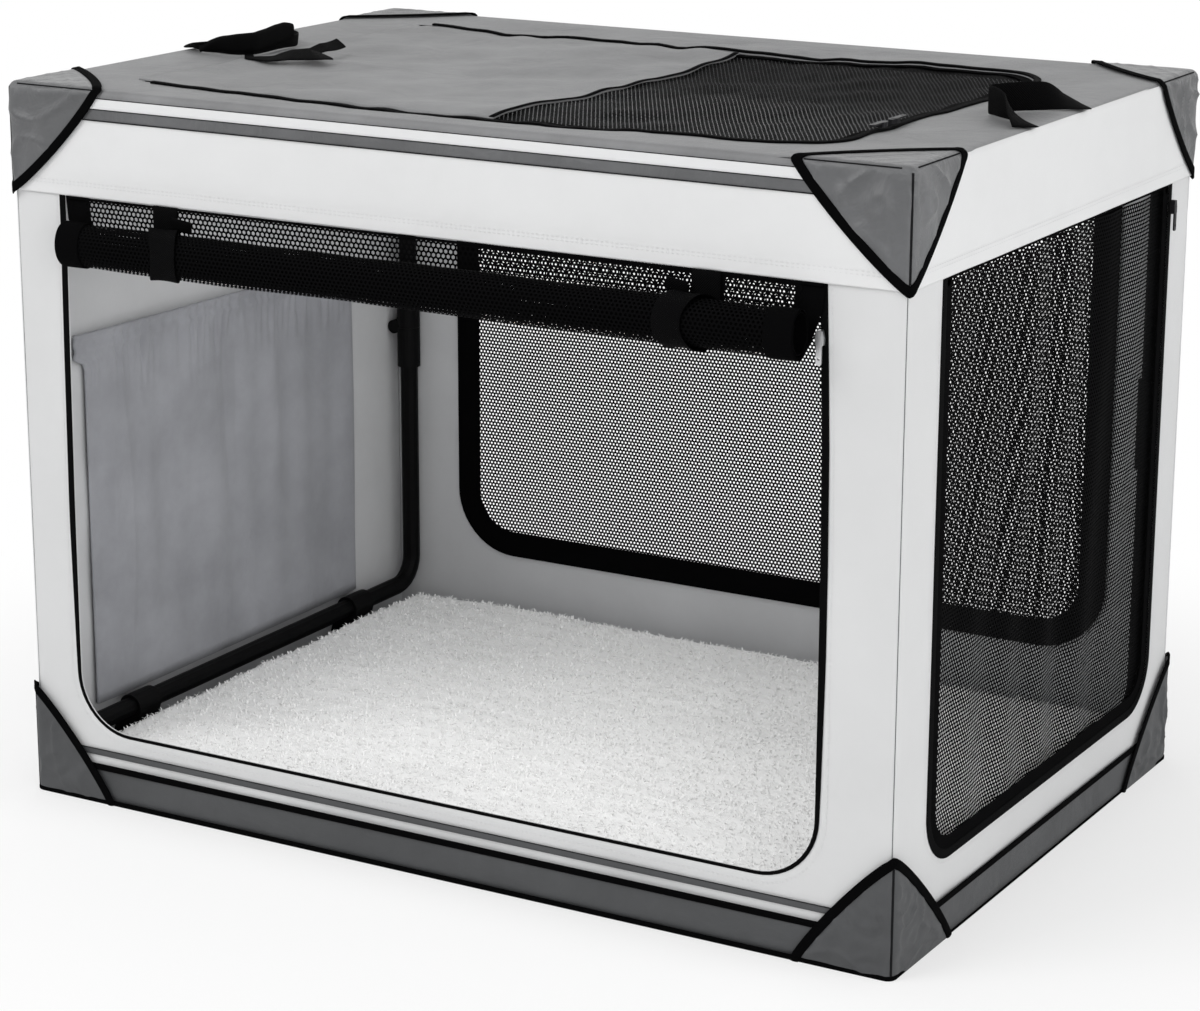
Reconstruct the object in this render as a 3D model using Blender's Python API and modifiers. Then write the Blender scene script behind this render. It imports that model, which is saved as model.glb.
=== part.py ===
"""Soft folding dog crate, erect.

X runs along the front, +Y to the back, +Z up. The origin is at the middle of the
underside. The cover is sewn cloth in four layers, counted from the outside in:
layer 0 is the corner gussets, layer 1 the bands and zips, layer 2 the walls and
doors, and the steel frame stands inside them.
"""
import math

import bmesh
import bpy
from mathutils import Matrix, Vector

# Overall size
WIDTH = 0.914
DEPTH = 0.640
HEIGHT = 0.690

# Cloth and clearances
CLOTH = 0.0015
GAP = 0.0003
SEAM_GAP = 0.0006
OVERRUN = 0.002

# Steel frame
TUBE = 0.019
RING_CORNER = 0.040
FRAME_CORNER = 0.030
ARM_SIDE_CLEARANCE = 0.003

# Knee joint of a corner post
KNEE_OFFSET = 0.0135
KNEE_WALL = 0.003
KNEE_GRIP = 0.034
KNEE_HEAD = 0.010
KNEE_EYE = 0.0075
KNEE_TONGUE = 0.006
KNEE_PIN = 0.0025
KNEE_WALL_CLEARANCE = 0.001

# Saddles that hold the cross tubes
SADDLE_WALL = 0.0033
SADDLE_LENGTH = 0.034
BASE_SADDLE_MARGIN = 0.130
TOP_SADDLE_MARGIN = 0.200

# Cover
HEM_DEPTH = 0.101
TUB_HEIGHT = 0.036
FOLD_GAP = 0.0014
HEM_OVERLAP = 0.011
TOP_GUSSET_X = 0.105
TOP_GUSSET_Y = 0.098
TOP_GUSSET_Z = 0.101
BOTTOM_GUSSET_X = 0.092
BOTTOM_GUSSET_Y = 0.115
BOTTOM_GUSSET_Z = 0.107

# Front doorway
FRONT_LEFT_MARGIN = 0.061
FRONT_RIGHT_MARGIN = 0.073
FRONT_SILL = 0.073
FRONT_CORNER = 0.055
ZIP_WIDTH = 0.007
ZIP_THICKNESS = 0.0012

# Side doorway
SIDE_FRONT_MARGIN = 0.076
SIDE_BACK_MARGIN = 0.058
SIDE_SILL = 0.079
SIDE_CORNER = 0.045
SIDE_BINDING = 0.011
HINGE_DROP = 0.001

# Back window
BACK_MARGIN = 0.083
BACK_SILL = 0.112
BACK_TOP_MARGIN = 0.126
BACK_CORNER = 0.055
BACK_BINDING = 0.028

# Roof door
ROOF_LEFT_MARGIN = 0.097
ROOF_RIGHT_MARGIN = 0.112
ROOF_FRONT_MARGIN = 0.075
ROOF_BACK_MARGIN = 0.095
ROOF_CORNER = 0.050
ROOF_HINGE_GAP = 0.0010
COVER_REACH = 0.378
COVER_SETBACK = 0.004

# Openings that stand for the nets' mesh
NET_BORDER = 0.020
NET_HOLE_SHARE = 0.80
BACK_NET_GRID = (12, 7)
SIDE_NET_GRID = (8, 8)
ROOF_NET_GRID = (12, 8)

# Rolled front door and its straps
ROLL_RADIUS = 0.022
ROLL_CENTRE_DROP = 0.041
ROLL_CLOTH = 0.0014
ROLL_PITCH = 0.0022
ROLL_TURNS = 3
ROLL_END_INSET = 0.003
STRAP_THICKNESS = 0.0012
STRAP_WIDTH = 0.027
STRAP_LEFT_MARGIN = 0.128
STRAP_RIGHT_MARGIN = 0.130
ROLL_PIVOT_RISE = 0.0018

# Wall pocket
POCKET_FRONT_MARGIN = 0.068
POCKET_BACK_MARGIN = 0.124
POCKET_TOP_DROP = 0.151
POCKET_BOTTOM = 0.064
POCKET_STANDOFF = 0.0022
POCKET_RIPPLE = 0.0016
POCKET_GATHERS = 9

# Fleece mat
MAT_HEIGHT = 0.055
MAT_CLEARANCE = 0.001
MAT_PINCH = 0.010
MAT_CROWN_SHARE = 0.12

# Carrying handles
WEBBING_WIDTH = 0.025
WEBBING_THICKNESS = 0.0016
HANDLE_SPREAD = 0.140
HANDLE_CENTRE_Y = -0.020
HANDLE_REACH = 0.078
HANDLE_TIP_SHARE = 0.62
HANDLE_BEND_SHARE = 0.33
HANDLE_INSET = 0.0035
GRIP_THICKNESS = 0.007
GRIP_WIDTH = 0.030

# Zip sliders
SLIDER_LENGTH = 0.013
SLIDER_WIDTH = 0.0075
SLIDER_HEIGHT = 0.0042
PULL_LENGTH = 0.024
PULL_WIDTH = 0.0052
PULL_THICKNESS = 0.0014
PULL_HOLE = 0.0012
SLIDER_NOSE_SHARE = 0.6
PULL_TOP_SHARE = 0.6
PULL_ROUND_SHARE = 0.8
PULL_SINK_SHARE = 0.33
FRONT_SLIDER_DROP = 0.047
SIDE_SLIDER_DROP = 0.029
ROOF_SLIDER_MARGIN = 0.089
ROOF_SLIDER_SPACING = 0.021

# Sizes worked out from the ones above
HALF_X = WIDTH / 2
HALF_Y = DEPTH / 2
BASE_SADDLE_Y = HALF_Y - BASE_SADDLE_MARGIN
TOP_SADDLE_Y = HALF_Y - TOP_SADDLE_MARGIN
LAYER = CLOTH + GAP
TUBE_RADIUS = TUBE / 2
BAND_X = HALF_X - LAYER
BAND_Y = HALF_Y - LAYER
WALL_X = HALF_X - 2 * LAYER
WALL_Y = HALF_Y - 2 * LAYER
INSIDE_X = WALL_X - CLOTH
INSIDE_Y = WALL_Y - CLOTH
RING_X = INSIDE_X - GAP - TUBE_RADIUS
RING_Y = INSIDE_Y - GAP - TUBE_RADIUS
BASE_RING_Z = LAYER + TUBE_RADIUS
ROOF_UNDER = HEIGHT - LAYER - CLOTH
TOP_RING_Z = ROOF_UNDER - GAP - TUBE_RADIUS
HEM_Z = HEIGHT - HEM_DEPTH
SADDLE_RISE = (HEM_DEPTH + TUB_HEIGHT + FOLD_GAP - BASE_RING_Z
               - (HEIGHT - TOP_RING_Z) - 2 * KNEE_OFFSET) / 2
LOW_PIVOT_Z = BASE_RING_Z + SADDLE_RISE
HIGH_PIVOT_Z = TOP_RING_Z - SADDLE_RISE
KNEE_Z = (LOW_PIVOT_Z + HIGH_PIVOT_Z) / 2
POST_X = INSIDE_X - KNEE_WALL_CLEARANCE - KNEE_EYE - KNEE_OFFSET
POST_Y = INSIDE_Y - ARM_SIDE_CLEARANCE - TUBE_RADIUS
SLEEVE_RADIUS = TUBE_RADIUS + KNEE_WALL
SADDLE_RADIUS = TUBE_RADIUS + SADDLE_WALL
OPENING_TOP = HEM_Z + HEM_OVERLAP

FRONT_LEFT = -HALF_X + FRONT_LEFT_MARGIN
FRONT_RIGHT = HALF_X - FRONT_RIGHT_MARGIN
SIDE_FRONT = -HALF_Y + SIDE_FRONT_MARGIN
SIDE_BACK = HALF_Y - SIDE_BACK_MARGIN
BACK_EDGE = HALF_X - BACK_MARGIN
BACK_TOP = HEIGHT - BACK_TOP_MARGIN
ROOF_LEFT = -HALF_X + ROOF_LEFT_MARGIN
ROOF_RIGHT = HALF_X - ROOF_RIGHT_MARGIN
ROOF_FRONT = -HALF_Y + ROOF_FRONT_MARGIN
ROOF_BACK = HALF_Y - ROOF_BACK_MARGIN
ROOF_TOP = HEIGHT - LAYER

ROLL_BACK_Y = -WALL_Y - GAP - STRAP_THICKNESS - GAP
ROLL_Y = ROLL_BACK_Y - ROLL_RADIUS
ROLL_Z = HEM_Z - ROLL_CENTRE_DROP
ROLL_TOP_Z = HEM_Z - GAP
ROLL_PIVOT_Z = ROLL_TOP_Z + ROLL_PIVOT_RISE
STRAP_LEFT_X = FRONT_LEFT + STRAP_LEFT_MARGIN
STRAP_RIGHT_X = FRONT_RIGHT - STRAP_RIGHT_MARGIN
POCKET_FRONT_Y = -HALF_Y + POCKET_FRONT_MARGIN
POCKET_BACK_Y = HALF_Y - POCKET_BACK_MARGIN
POCKET_TOP = HEM_Z - POCKET_TOP_DROP
FRONT_SLIDER_Z = HEM_Z - FRONT_SLIDER_DROP
SIDE_SLIDER_Z = HEM_Z - SIDE_SLIDER_DROP
ROOF_SLIDER_FRONT_Y = ROOF_FRONT + ROOF_SLIDER_MARGIN
COVER_EDGE_X = ROOF_LEFT + COVER_REACH
HANDLE_X = BAND_X - HANDLE_INSET

# Steps and colours
ARC_STEPS = 6
ROUND_SIDES = 24
SPIRAL_STEPS = 20
GREY = (0.260, 0.270, 0.280)
DARK_GREY = (0.090, 0.096, 0.102)
PALE = (0.800, 0.805, 0.810)
BLACK = (0.012, 0.012, 0.013)
STEEL = (0.030, 0.030, 0.032)
INSIDE_GREY = (0.270, 0.280, 0.310)
WHITE = (0.900, 0.895, 0.880)
METAL = (0.620, 0.620, 0.640)

# How a flat outline is turned into each plane of the crate
FACING_FRONT = (math.pi / 2, 0, 0)
FACING_SIDE = (math.pi / 2, 0, math.pi / 2)
FACING_UP = (0, 0, 0)


def clear_scene():
    for item in list(bpy.data.objects):
        bpy.data.objects.remove(item, do_unlink=True)


def new_collection(name):
    group = bpy.data.collections.new(name)
    bpy.context.scene.collection.children.link(group)
    return group


def surface(name, colour, roughness, metallic=0.0):
    made = bpy.data.materials.new(name)
    made.use_nodes = True
    shader = made.node_tree.nodes["Principled BSDF"]
    shader.inputs["Base Color"].default_value = (*colour, 1)
    shader.inputs["Roughness"].default_value = roughness
    shader.inputs["Metallic"].default_value = metallic
    return made


def finish(item, name, colour, roughness, metallic=0.0):
    """Name a piece, give it its material and put it in the crate's collection."""
    item.name = name
    item.data.name = name
    item.data.materials.clear()
    item.data.materials.append(surface(name, colour, roughness, metallic))
    for group in list(item.users_collection):
        group.objects.unlink(item)
    CRATE.objects.link(item)
    return item


def round_loop(corners, radii):
    """Outline through corners, with an arc of the given radius at each."""
    points = []
    count = len(corners)
    for index, corner in enumerate(corners):
        here = Vector(corner)
        before = (Vector(corners[index - 1]) - here).normalized()
        after = (Vector(corners[(index + 1) % count]) - here).normalized()
        radius = radii[index]
        if radius == 0:
            points.append(here)
            continue
        half = before.angle(after) / 2
        centre = here + (before + after).normalized() * (radius / math.sin(half))
        start = here + before * (radius / math.tan(half)) - centre
        end = here + after * (radius / math.tan(half)) - centre
        sweep = start.angle(end)
        for step in range(ARC_STEPS + 1):
            share = step / ARC_STEPS
            first = math.sin((1 - share) * sweep) / math.sin(sweep)
            second = math.sin(share * sweep) / math.sin(sweep)
            points.append(centre + start * first + end * second)
    return points


def rectangle(left, low, right, high, radius=0.0):
    corners = [(left, low), (right, low), (right, high), (left, high)]
    return round_loop(corners, [radius] * 4)


def doorway(left, low, right, high, radius):
    """Door outline: square at the top, round at the two lower corners."""
    corners = [(left, low), (right, low), (right, high), (left, high)]
    return round_loop(corners, [radius, radius, 0, 0])


def net_holes(left, low, right, high, grid):
    """Grid of plain openings inside a net's border, in place of its fine mesh."""
    across, up = grid
    pitch_x = (right - left - 2 * NET_BORDER) / across
    pitch_y = (high - low - 2 * NET_BORDER) / up
    half_x, half_y = pitch_x * NET_HOLE_SHARE / 2, pitch_y * NET_HOLE_SHARE / 2
    holes = []
    for column in range(across):
        for row in range(up):
            x = left + NET_BORDER + pitch_x * (column + 0.5)
            y = low + NET_BORDER + pitch_y * (row + 0.5)
            holes.append(rectangle(x - half_x, y - half_y, x + half_x, y + half_y))
    return holes


def circle(x, y, radius, sides=ROUND_SIDES):
    turn = 2 * math.pi / sides
    return [Vector((x + radius * math.cos(turn * i), y + radius * math.sin(turn * i)))
            for i in range(sides)]


def add_spline(data, points, cyclic=True):
    spline = data.splines.new("POLY")
    spline.points.add(len(points) - 1)
    for slot, point in zip(spline.points, points):
        place = Vector(point).to_3d()
        slot.co = (*place, 1)
    spline.use_cyclic_u = cyclic


def curve_to_mesh(item):
    """Replace a curve by its welded mesh, with its place applied."""
    bpy.context.view_layer.update()
    graph = bpy.context.evaluated_depsgraph_get()
    mesh = bpy.data.meshes.new_from_object(item.evaluated_get(graph))
    mesh.transform(item.matrix_world)
    shape = bmesh.new()
    shape.from_mesh(mesh)
    bmesh.ops.remove_doubles(shape, verts=shape.verts, dist=GAP / 30)
    bmesh.ops.recalc_face_normals(shape, faces=shape.faces)
    shape.to_mesh(mesh)
    shape.free()
    solid = bpy.data.objects.new(item.name, mesh)
    bpy.context.scene.collection.objects.link(solid)
    bpy.data.objects.remove(item, do_unlink=True)
    return solid


def plate(loops, thickness, place, facing):
    """Flat outline with holes, extruded to a thickness centred on its plane."""
    data = bpy.data.curves.new("plate", "CURVE")
    data.dimensions = "2D"
    data.fill_mode = "BOTH"
    data.extrude = thickness / 2
    for loop in loops:
        add_spline(data, loop)
    item = bpy.data.objects.new("plate", data)
    item.location = place
    item.rotation_euler = facing
    bpy.context.scene.collection.objects.link(item)
    return curve_to_mesh(item)


def tube(points, radius, cyclic=False):
    """Round tube along a path, with filled ends."""
    data = bpy.data.curves.new("tube", "CURVE")
    data.dimensions = "3D"
    data.bevel_depth = radius
    data.bevel_resolution = 4
    data.use_fill_caps = True
    add_spline(data, points, cyclic)
    item = bpy.data.objects.new("tube", data)
    bpy.context.scene.collection.objects.link(item)
    return curve_to_mesh(item)


def block(low, high):
    """Box between two corners."""
    shape = bmesh.new()
    bmesh.ops.create_cube(shape, size=1)
    size = Vector(high) - Vector(low)
    middle = (Vector(high) + Vector(low)) / 2
    bmesh.ops.scale(shape, vec=size, verts=shape.verts)
    bmesh.ops.translate(shape, vec=middle, verts=shape.verts)
    mesh = bpy.data.meshes.new("block")
    shape.to_mesh(mesh)
    shape.free()
    item = bpy.data.objects.new("block", mesh)
    bpy.context.scene.collection.objects.link(item)
    return item


def rod(centre, radius, length, along):
    """Round bar centred on a point, along one axis."""
    shape = bmesh.new()
    bmesh.ops.create_cone(shape, cap_ends=True, segments=ROUND_SIDES,
                          radius1=radius, radius2=radius, depth=length)
    turn = Vector((0, 0, 1)).rotation_difference(Vector(along)).to_matrix().to_4x4()
    bmesh.ops.transform(shape, matrix=Matrix.Translation(centre) @ turn, verts=shape.verts)
    mesh = bpy.data.meshes.new("rod")
    shape.to_mesh(mesh)
    shape.free()
    item = bpy.data.objects.new("rod", mesh)
    bpy.context.scene.collection.objects.link(item)
    return item


def combine(item, tools, operation):
    """Join tools to a piece, or cut them from it, and keep the result as its mesh."""
    for tool in tools:
        step = item.modifiers.new("combine", "BOOLEAN")
        step.operation = operation
        step.solver = "EXACT"
        step.object = tool
    bpy.context.view_layer.update()
    graph = bpy.context.evaluated_depsgraph_get()
    mesh = bpy.data.meshes.new_from_object(item.evaluated_get(graph))
    item.modifiers.clear()
    item.data = mesh
    for tool in tools:
        bpy.data.objects.remove(tool, do_unlink=True)
    return item


def cut_live(item, cutter):
    """Cut with a cutter that stays in the file, hidden, beside the crate."""
    cutter.hide_render = True
    cutter.display_type = "WIRE"
    for group in list(cutter.users_collection):
        group.objects.unlink(cutter)
    CUTTERS.objects.link(cutter)
    step = item.modifiers.new("cut", "BOOLEAN")
    step.operation = "DIFFERENCE"
    step.solver = "EXACT"
    step.object = cutter


def smooth(item, degrees=40):
    item.data.shade_smooth()
    item.data.set_sharp_from_angle(angle=math.radians(degrees))
    return item


def pivot(name, place, carrier=None):
    """Empty on a joint's axis, which its moving pieces hang on."""
    item = bpy.data.objects.new(name, None)
    item.empty_display_size = TUBE
    item.location = place
    CRATE.objects.link(item)
    bpy.context.view_layer.update()
    if carrier:
        hang(item, carrier)
    return item


def hang(item, carrier):
    item.parent = carrier
    item.matrix_parent_inverse = carrier.matrix_world.inverted()


def ring_path(x, y, z, radius):
    return [point.to_3d() + Vector((0, 0, z)) for point in rectangle(-x, -y, x, y, radius)]


def build_rings():
    base = tube(ring_path(RING_X, RING_Y, BASE_RING_Z, RING_CORNER), TUBE_RADIUS, True)
    smooth(finish(base, "base_ring", STEEL, 0.45, 0.6))
    top = tube(ring_path(RING_X, RING_Y, TOP_RING_Z, RING_CORNER), TUBE_RADIUS, True)
    hang(smooth(finish(top, "top_ring", STEEL, 0.45, 0.6)), PIVOTS["roof"])


def bent_path(side, pivot_z, end_z):
    """Two arms and the cross tube between them, which lies on the pivot's axis."""
    x = side * POST_X
    corners = [(-POST_Y, end_z), (-POST_Y, pivot_z), (POST_Y, pivot_z), (POST_Y, end_z)]
    bends = round_loop(corners, [0, FRAME_CORNER, FRAME_CORNER, 0])
    return [Vector((x, point.x, point.y)) for point in bends]


def build_half_frame(side, name, pivot_z, end_z, carrier):
    item = tube(bent_path(side, pivot_z, end_z), TUBE_RADIUS)
    hang(smooth(finish(item, name, STEEL, 0.45, 0.6)), carrier)


def knee_sleeve(x, y, low, high):
    """Sleeve round a tube's end, closed by a head at one end."""
    return rod((x, y, (low + high) / 2), SLEEVE_RADIUS, high - low, (0, 0, 1))


def knee_bore(x, y, low, high):
    return rod((x, y, (low + high) / 2), TUBE_RADIUS + GAP, high - low, (0, 0, 1))


def build_knee(side, y, name, carrier):
    """Lower half of a knee: sleeve, head and two ears with the pin between them."""
    pin_x = side * (POST_X + KNEE_OFFSET)
    post_x = side * POST_X
    top = KNEE_Z - GAP / 2
    head = KNEE_Z - KNEE_HEAD
    item = knee_sleeve(post_x, y, head - KNEE_GRIP, top)
    ear_width = 2 * SLEEVE_RADIUS - 2 * KNEE_WALL
    ear = rod((pin_x, y, KNEE_Z), KNEE_EYE, ear_width, (0, 1, 0))
    combine(item, [ear], "UNION")
    slot = rod((pin_x, y, KNEE_Z), KNEE_EYE + GAP, KNEE_TONGUE + 2 * GAP, (0, 1, 0))
    bore = knee_bore(post_x, y, head - KNEE_GRIP - OVERRUN, head)
    combine(item, [slot, bore], "DIFFERENCE")
    pin = rod((pin_x, y, KNEE_Z), KNEE_PIN, ear_width - KNEE_WALL, (0, 1, 0))
    combine(item, [pin], "UNION")
    hang(smooth(finish(item, name, BLACK, 0.55)), carrier)


def build_tongue(side, y, name, carrier):
    """Upper half of a knee: sleeve and head, with a tongue that turns on the pin."""
    pin_x = side * (POST_X + KNEE_OFFSET)
    post_x = side * POST_X
    bottom = KNEE_Z + GAP / 2
    head = KNEE_Z + KNEE_HEAD
    item = knee_sleeve(post_x, y, bottom, head + KNEE_GRIP)
    relief = rod((pin_x, y, KNEE_Z), KNEE_EYE + GAP, 2 * SLEEVE_RADIUS + OVERRUN, (0, 1, 0))
    combine(item, [relief], "DIFFERENCE")
    eye = rod((pin_x, y, KNEE_Z), KNEE_EYE, KNEE_TONGUE, (0, 1, 0))
    low = (min(pin_x, post_x), y - KNEE_TONGUE / 2, bottom)
    high = (max(pin_x, post_x), y + KNEE_TONGUE / 2, head - GAP)
    neck = block(low, high)
    combine(item, [eye, neck], "UNION")
    hole = rod((pin_x, y, KNEE_Z), KNEE_PIN + GAP, KNEE_TONGUE + OVERRUN, (0, 1, 0))
    bore = knee_bore(post_x, y, head, head + KNEE_GRIP + OVERRUN)
    combine(item, [hole, bore], "DIFFERENCE")
    hang(smooth(finish(item, name, BLACK, 0.55)), carrier)


def build_posts():
    for side, label in ((-1, "left"), (1, "right")):
        low, high = PIVOTS[label + "_lower"], PIVOTS[label + "_upper"]
        end = KNEE_HEAD + GAP
        build_half_frame(side, label + "_lower_frame", LOW_PIVOT_Z, KNEE_Z - end, low)
        build_half_frame(side, label + "_upper_frame", HIGH_PIVOT_Z, KNEE_Z + end, high)
        for y, place in ((-POST_Y, "front"), (POST_Y, "back")):
            build_knee(side, y, f"{label}_knee_{place}", low)
            build_tongue(side, y, f"{label}_tongue_{place}", high)


def capsule(start, end, radius):
    """Outline round two equal circles."""
    axis = (end - start).normalized()
    turn = math.atan2(axis.y, axis.x)
    points = []
    for centre, first in ((end, turn - math.pi / 2), (start, turn + math.pi / 2)):
        for step in range(ROUND_SIDES // 2 + 1):
            angle = first + math.pi * step / (ROUND_SIDES // 2)
            points.append(centre + radius * Vector((math.cos(angle), math.sin(angle))))
    return points


def build_saddle(side, y, ring_z, pivot_z, name, carrier):
    """Saddle that sits on a ring and has an eye for the cross tube."""
    ring = Vector((side * RING_X, ring_z))
    eye = Vector((side * POST_X, pivot_z))
    loops = [capsule(ring, eye, SADDLE_RADIUS), circle(eye.x, eye.y, TUBE_RADIUS + GAP),
             circle(ring.x, ring.y, TUBE_RADIUS + GAP)]
    item = plate(loops, SADDLE_LENGTH, (0, y, 0), FACING_FRONT)
    away = -1 if pivot_z > ring_z else 1
    reach = 2 * SADDLE_RADIUS
    mouth = sorted((ring_z - away * OVERRUN, ring_z + away * reach))
    outer = side * (RING_X + TUBE_RADIUS)
    flank = sorted((outer, outer + side * reach))
    half = SADDLE_LENGTH
    mouth_cut = block((ring.x - reach, y - half, mouth[0]), (ring.x + reach, y + half, mouth[1]))
    flank_cut = block((flank[0], y - half, ring_z - reach), (flank[1], y + half, ring_z + reach))
    combine(item, [mouth_cut, flank_cut], "DIFFERENCE")
    smooth(finish(item, name, BLACK, 0.55))
    if carrier:
        hang(item, carrier)


def build_saddles():
    for side, label in ((-1, "left"), (1, "right")):
        for sign, place in ((-1, "front"), (1, "back")):
            build_saddle(side, sign * BASE_SADDLE_Y, BASE_RING_Z, LOW_PIVOT_Z,
                         f"base_saddle_{label}_{place}", None)
            build_saddle(side, sign * TOP_SADDLE_Y, TOP_RING_Z, HIGH_PIVOT_Z,
                         f"top_saddle_{label}_{place}", PIVOTS["roof"])


def build_tub():
    """Waterproof tray: underside and a low dark band round it."""
    high = block((-BAND_X, -BAND_Y, 0), (BAND_X, BAND_Y, TUB_HEIGHT))
    inner = block((-BAND_X + CLOTH, -BAND_Y + CLOTH, CLOTH),
                  (BAND_X - CLOTH, BAND_Y - CLOTH, TUB_HEIGHT + OVERRUN))
    finish(high, "tub", DARK_GREY, 0.75)
    cut_live(high, inner)


def band(x, y, low, high):
    outer = rectangle(-x, -y, x, y, CLOTH)
    inner = rectangle(-x + CLOTH, -y + CLOTH, x - CLOTH, y - CLOTH)
    return plate([outer, inner], high - low, (0, 0, (low + high) / 2), FACING_UP)


def build_walls():
    """Four walls inside the bands, the front and back ones between the side ones."""
    low, high = LAYER, ROOF_UNDER - GAP
    edge = INSIDE_X - GAP
    door = doorway(FRONT_LEFT, FRONT_SILL, FRONT_RIGHT, OPENING_TOP, FRONT_CORNER)
    front = plate([rectangle(-edge, low, edge, high), door], CLOTH,
                  (0, -WALL_Y + CLOTH / 2, 0), FACING_FRONT)
    finish(front, "front_wall", PALE, 0.8)
    window = rectangle(-BACK_EDGE, BACK_SILL, BACK_EDGE, BACK_TOP, BACK_CORNER)
    back = plate([rectangle(-edge, low, edge, high), window], CLOTH,
                 (0, WALL_Y - CLOTH / 2, 0), FACING_FRONT)
    finish(back, "back_wall", PALE, 0.8)
    left = plate([rectangle(-WALL_Y, low, WALL_Y, high)], CLOTH,
                 (-WALL_X + CLOTH / 2, 0, 0), FACING_SIDE)
    finish(left, "left_wall", PALE, 0.8)
    door = doorway(SIDE_FRONT, SIDE_SILL, SIDE_BACK, OPENING_TOP, SIDE_CORNER)
    right = plate([rectangle(-WALL_Y, low, WALL_Y, high), door], CLOTH,
                  (WALL_X - CLOTH / 2, 0, 0), FACING_SIDE)
    finish(right, "right_wall", PALE, 0.8)


def strip_loop(left, low, right, high, radius, width):
    """U-shaped strip that runs down, along and up round a doorway."""
    outer = doorway(left - width, low - width, right + width, high, radius + width)
    inner = doorway(left, low, right, high, radius)
    return outer[:-1] + [inner[-2]] + inner[:-2][::-1] + [inner[-1], outer[-1]]


def build_front_zip():
    loop = strip_loop(FRONT_LEFT, FRONT_SILL, FRONT_RIGHT, HEM_Z - GAP, FRONT_CORNER, ZIP_WIDTH)
    y = -WALL_Y - GAP - ZIP_THICKNESS / 2
    item = plate([loop], ZIP_THICKNESS, (0, y, 0), FACING_FRONT)
    finish(item, "front_zip", BLACK, 0.7)


def build_back_window():
    net = rectangle(-BACK_EDGE + SEAM_GAP, BACK_SILL + SEAM_GAP, BACK_EDGE - SEAM_GAP,
                    BACK_TOP - SEAM_GAP, BACK_CORNER - SEAM_GAP)
    half = BACK_BINDING / 2
    holes = net_holes(-BACK_EDGE + half, BACK_SILL + half, BACK_EDGE - half, BACK_TOP - half,
                      BACK_NET_GRID)
    item = plate([net] + holes, CLOTH, (0, WALL_Y - CLOTH / 2, 0), FACING_FRONT)
    finish(item, "back_net", BLACK, 0.85)
    outer = rectangle(-BACK_EDGE - half, BACK_SILL - half, BACK_EDGE + half,
                      BACK_TOP + half, BACK_CORNER + half)
    inner = rectangle(-BACK_EDGE + half, BACK_SILL + half, BACK_EDGE - half,
                      BACK_TOP - half, BACK_CORNER - half)
    y = INSIDE_Y - GAP - ZIP_THICKNESS / 2
    item = plate([outer, inner], ZIP_THICKNESS, (0, y, 0), FACING_FRONT)
    finish(item, "back_binding", BLACK, 0.8)


def build_side_door():
    """Net door in the right wall, hinged on its sewn upper edge."""
    carrier = PIVOTS["side_door"]
    top = HEM_Z - HINGE_DROP
    net = doorway(SIDE_FRONT + SEAM_GAP, SIDE_SILL + SEAM_GAP, SIDE_BACK - SEAM_GAP,
                  top - GAP, SIDE_CORNER - SEAM_GAP)
    holes = net_holes(SIDE_FRONT, SIDE_SILL, SIDE_BACK, top, SIDE_NET_GRID)
    item = plate([net] + holes, CLOTH, (WALL_X - CLOTH / 2, 0, 0), FACING_SIDE)
    hang(finish(item, "side_door_net", BLACK, 0.85), carrier)
    inset = SIDE_BINDING + SEAM_GAP
    loop = strip_loop(SIDE_FRONT + inset, SIDE_SILL + inset, SIDE_BACK - inset,
                      top - 2 * CLOTH, SIDE_CORNER - inset, SIDE_BINDING)
    x = WALL_X + GAP + ZIP_THICKNESS / 2
    item = plate([loop], ZIP_THICKNESS, (x, 0, 0), FACING_SIDE)
    hang(finish(item, "side_door_binding", BLACK, 0.8), carrier)
    loop = strip_loop(SIDE_FRONT, SIDE_SILL, SIDE_BACK, HEM_Z - GAP, SIDE_CORNER, ZIP_WIDTH)
    item = plate([loop], ZIP_THICKNESS, (x, 0, 0), FACING_SIDE)
    finish(item, "side_zip", BLACK, 0.7)


def build_pocket():
    """Gathered cloth pocket on the left wall, with its hem drawn in at the top."""
    width = POCKET_BACK_Y - POCKET_FRONT_Y
    height = POCKET_TOP - POCKET_BOTTOM
    bpy.ops.mesh.primitive_grid_add(x_subdivisions=4 * POCKET_GATHERS, y_subdivisions=4, size=1)
    item = bpy.context.active_object
    for vertex in item.data.vertices:
        across = vertex.co.x + 0.5
        up = vertex.co.y + 0.5
        ripple = POCKET_RIPPLE * up * math.sin(2 * math.pi * POCKET_GATHERS * across)
        x = -INSIDE_X + POCKET_STANDOFF + ripple * math.sin(math.pi * across)
        vertex.co = (x, POCKET_FRONT_Y + width * across, POCKET_BOTTOM + height * up)
    thick = item.modifiers.new("cloth", "SOLIDIFY")
    thick.thickness = ZIP_THICKNESS
    thick.offset = 0
    smooth(finish(item, "wall_pocket", INSIDE_GREY, 0.85), 60)


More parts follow.
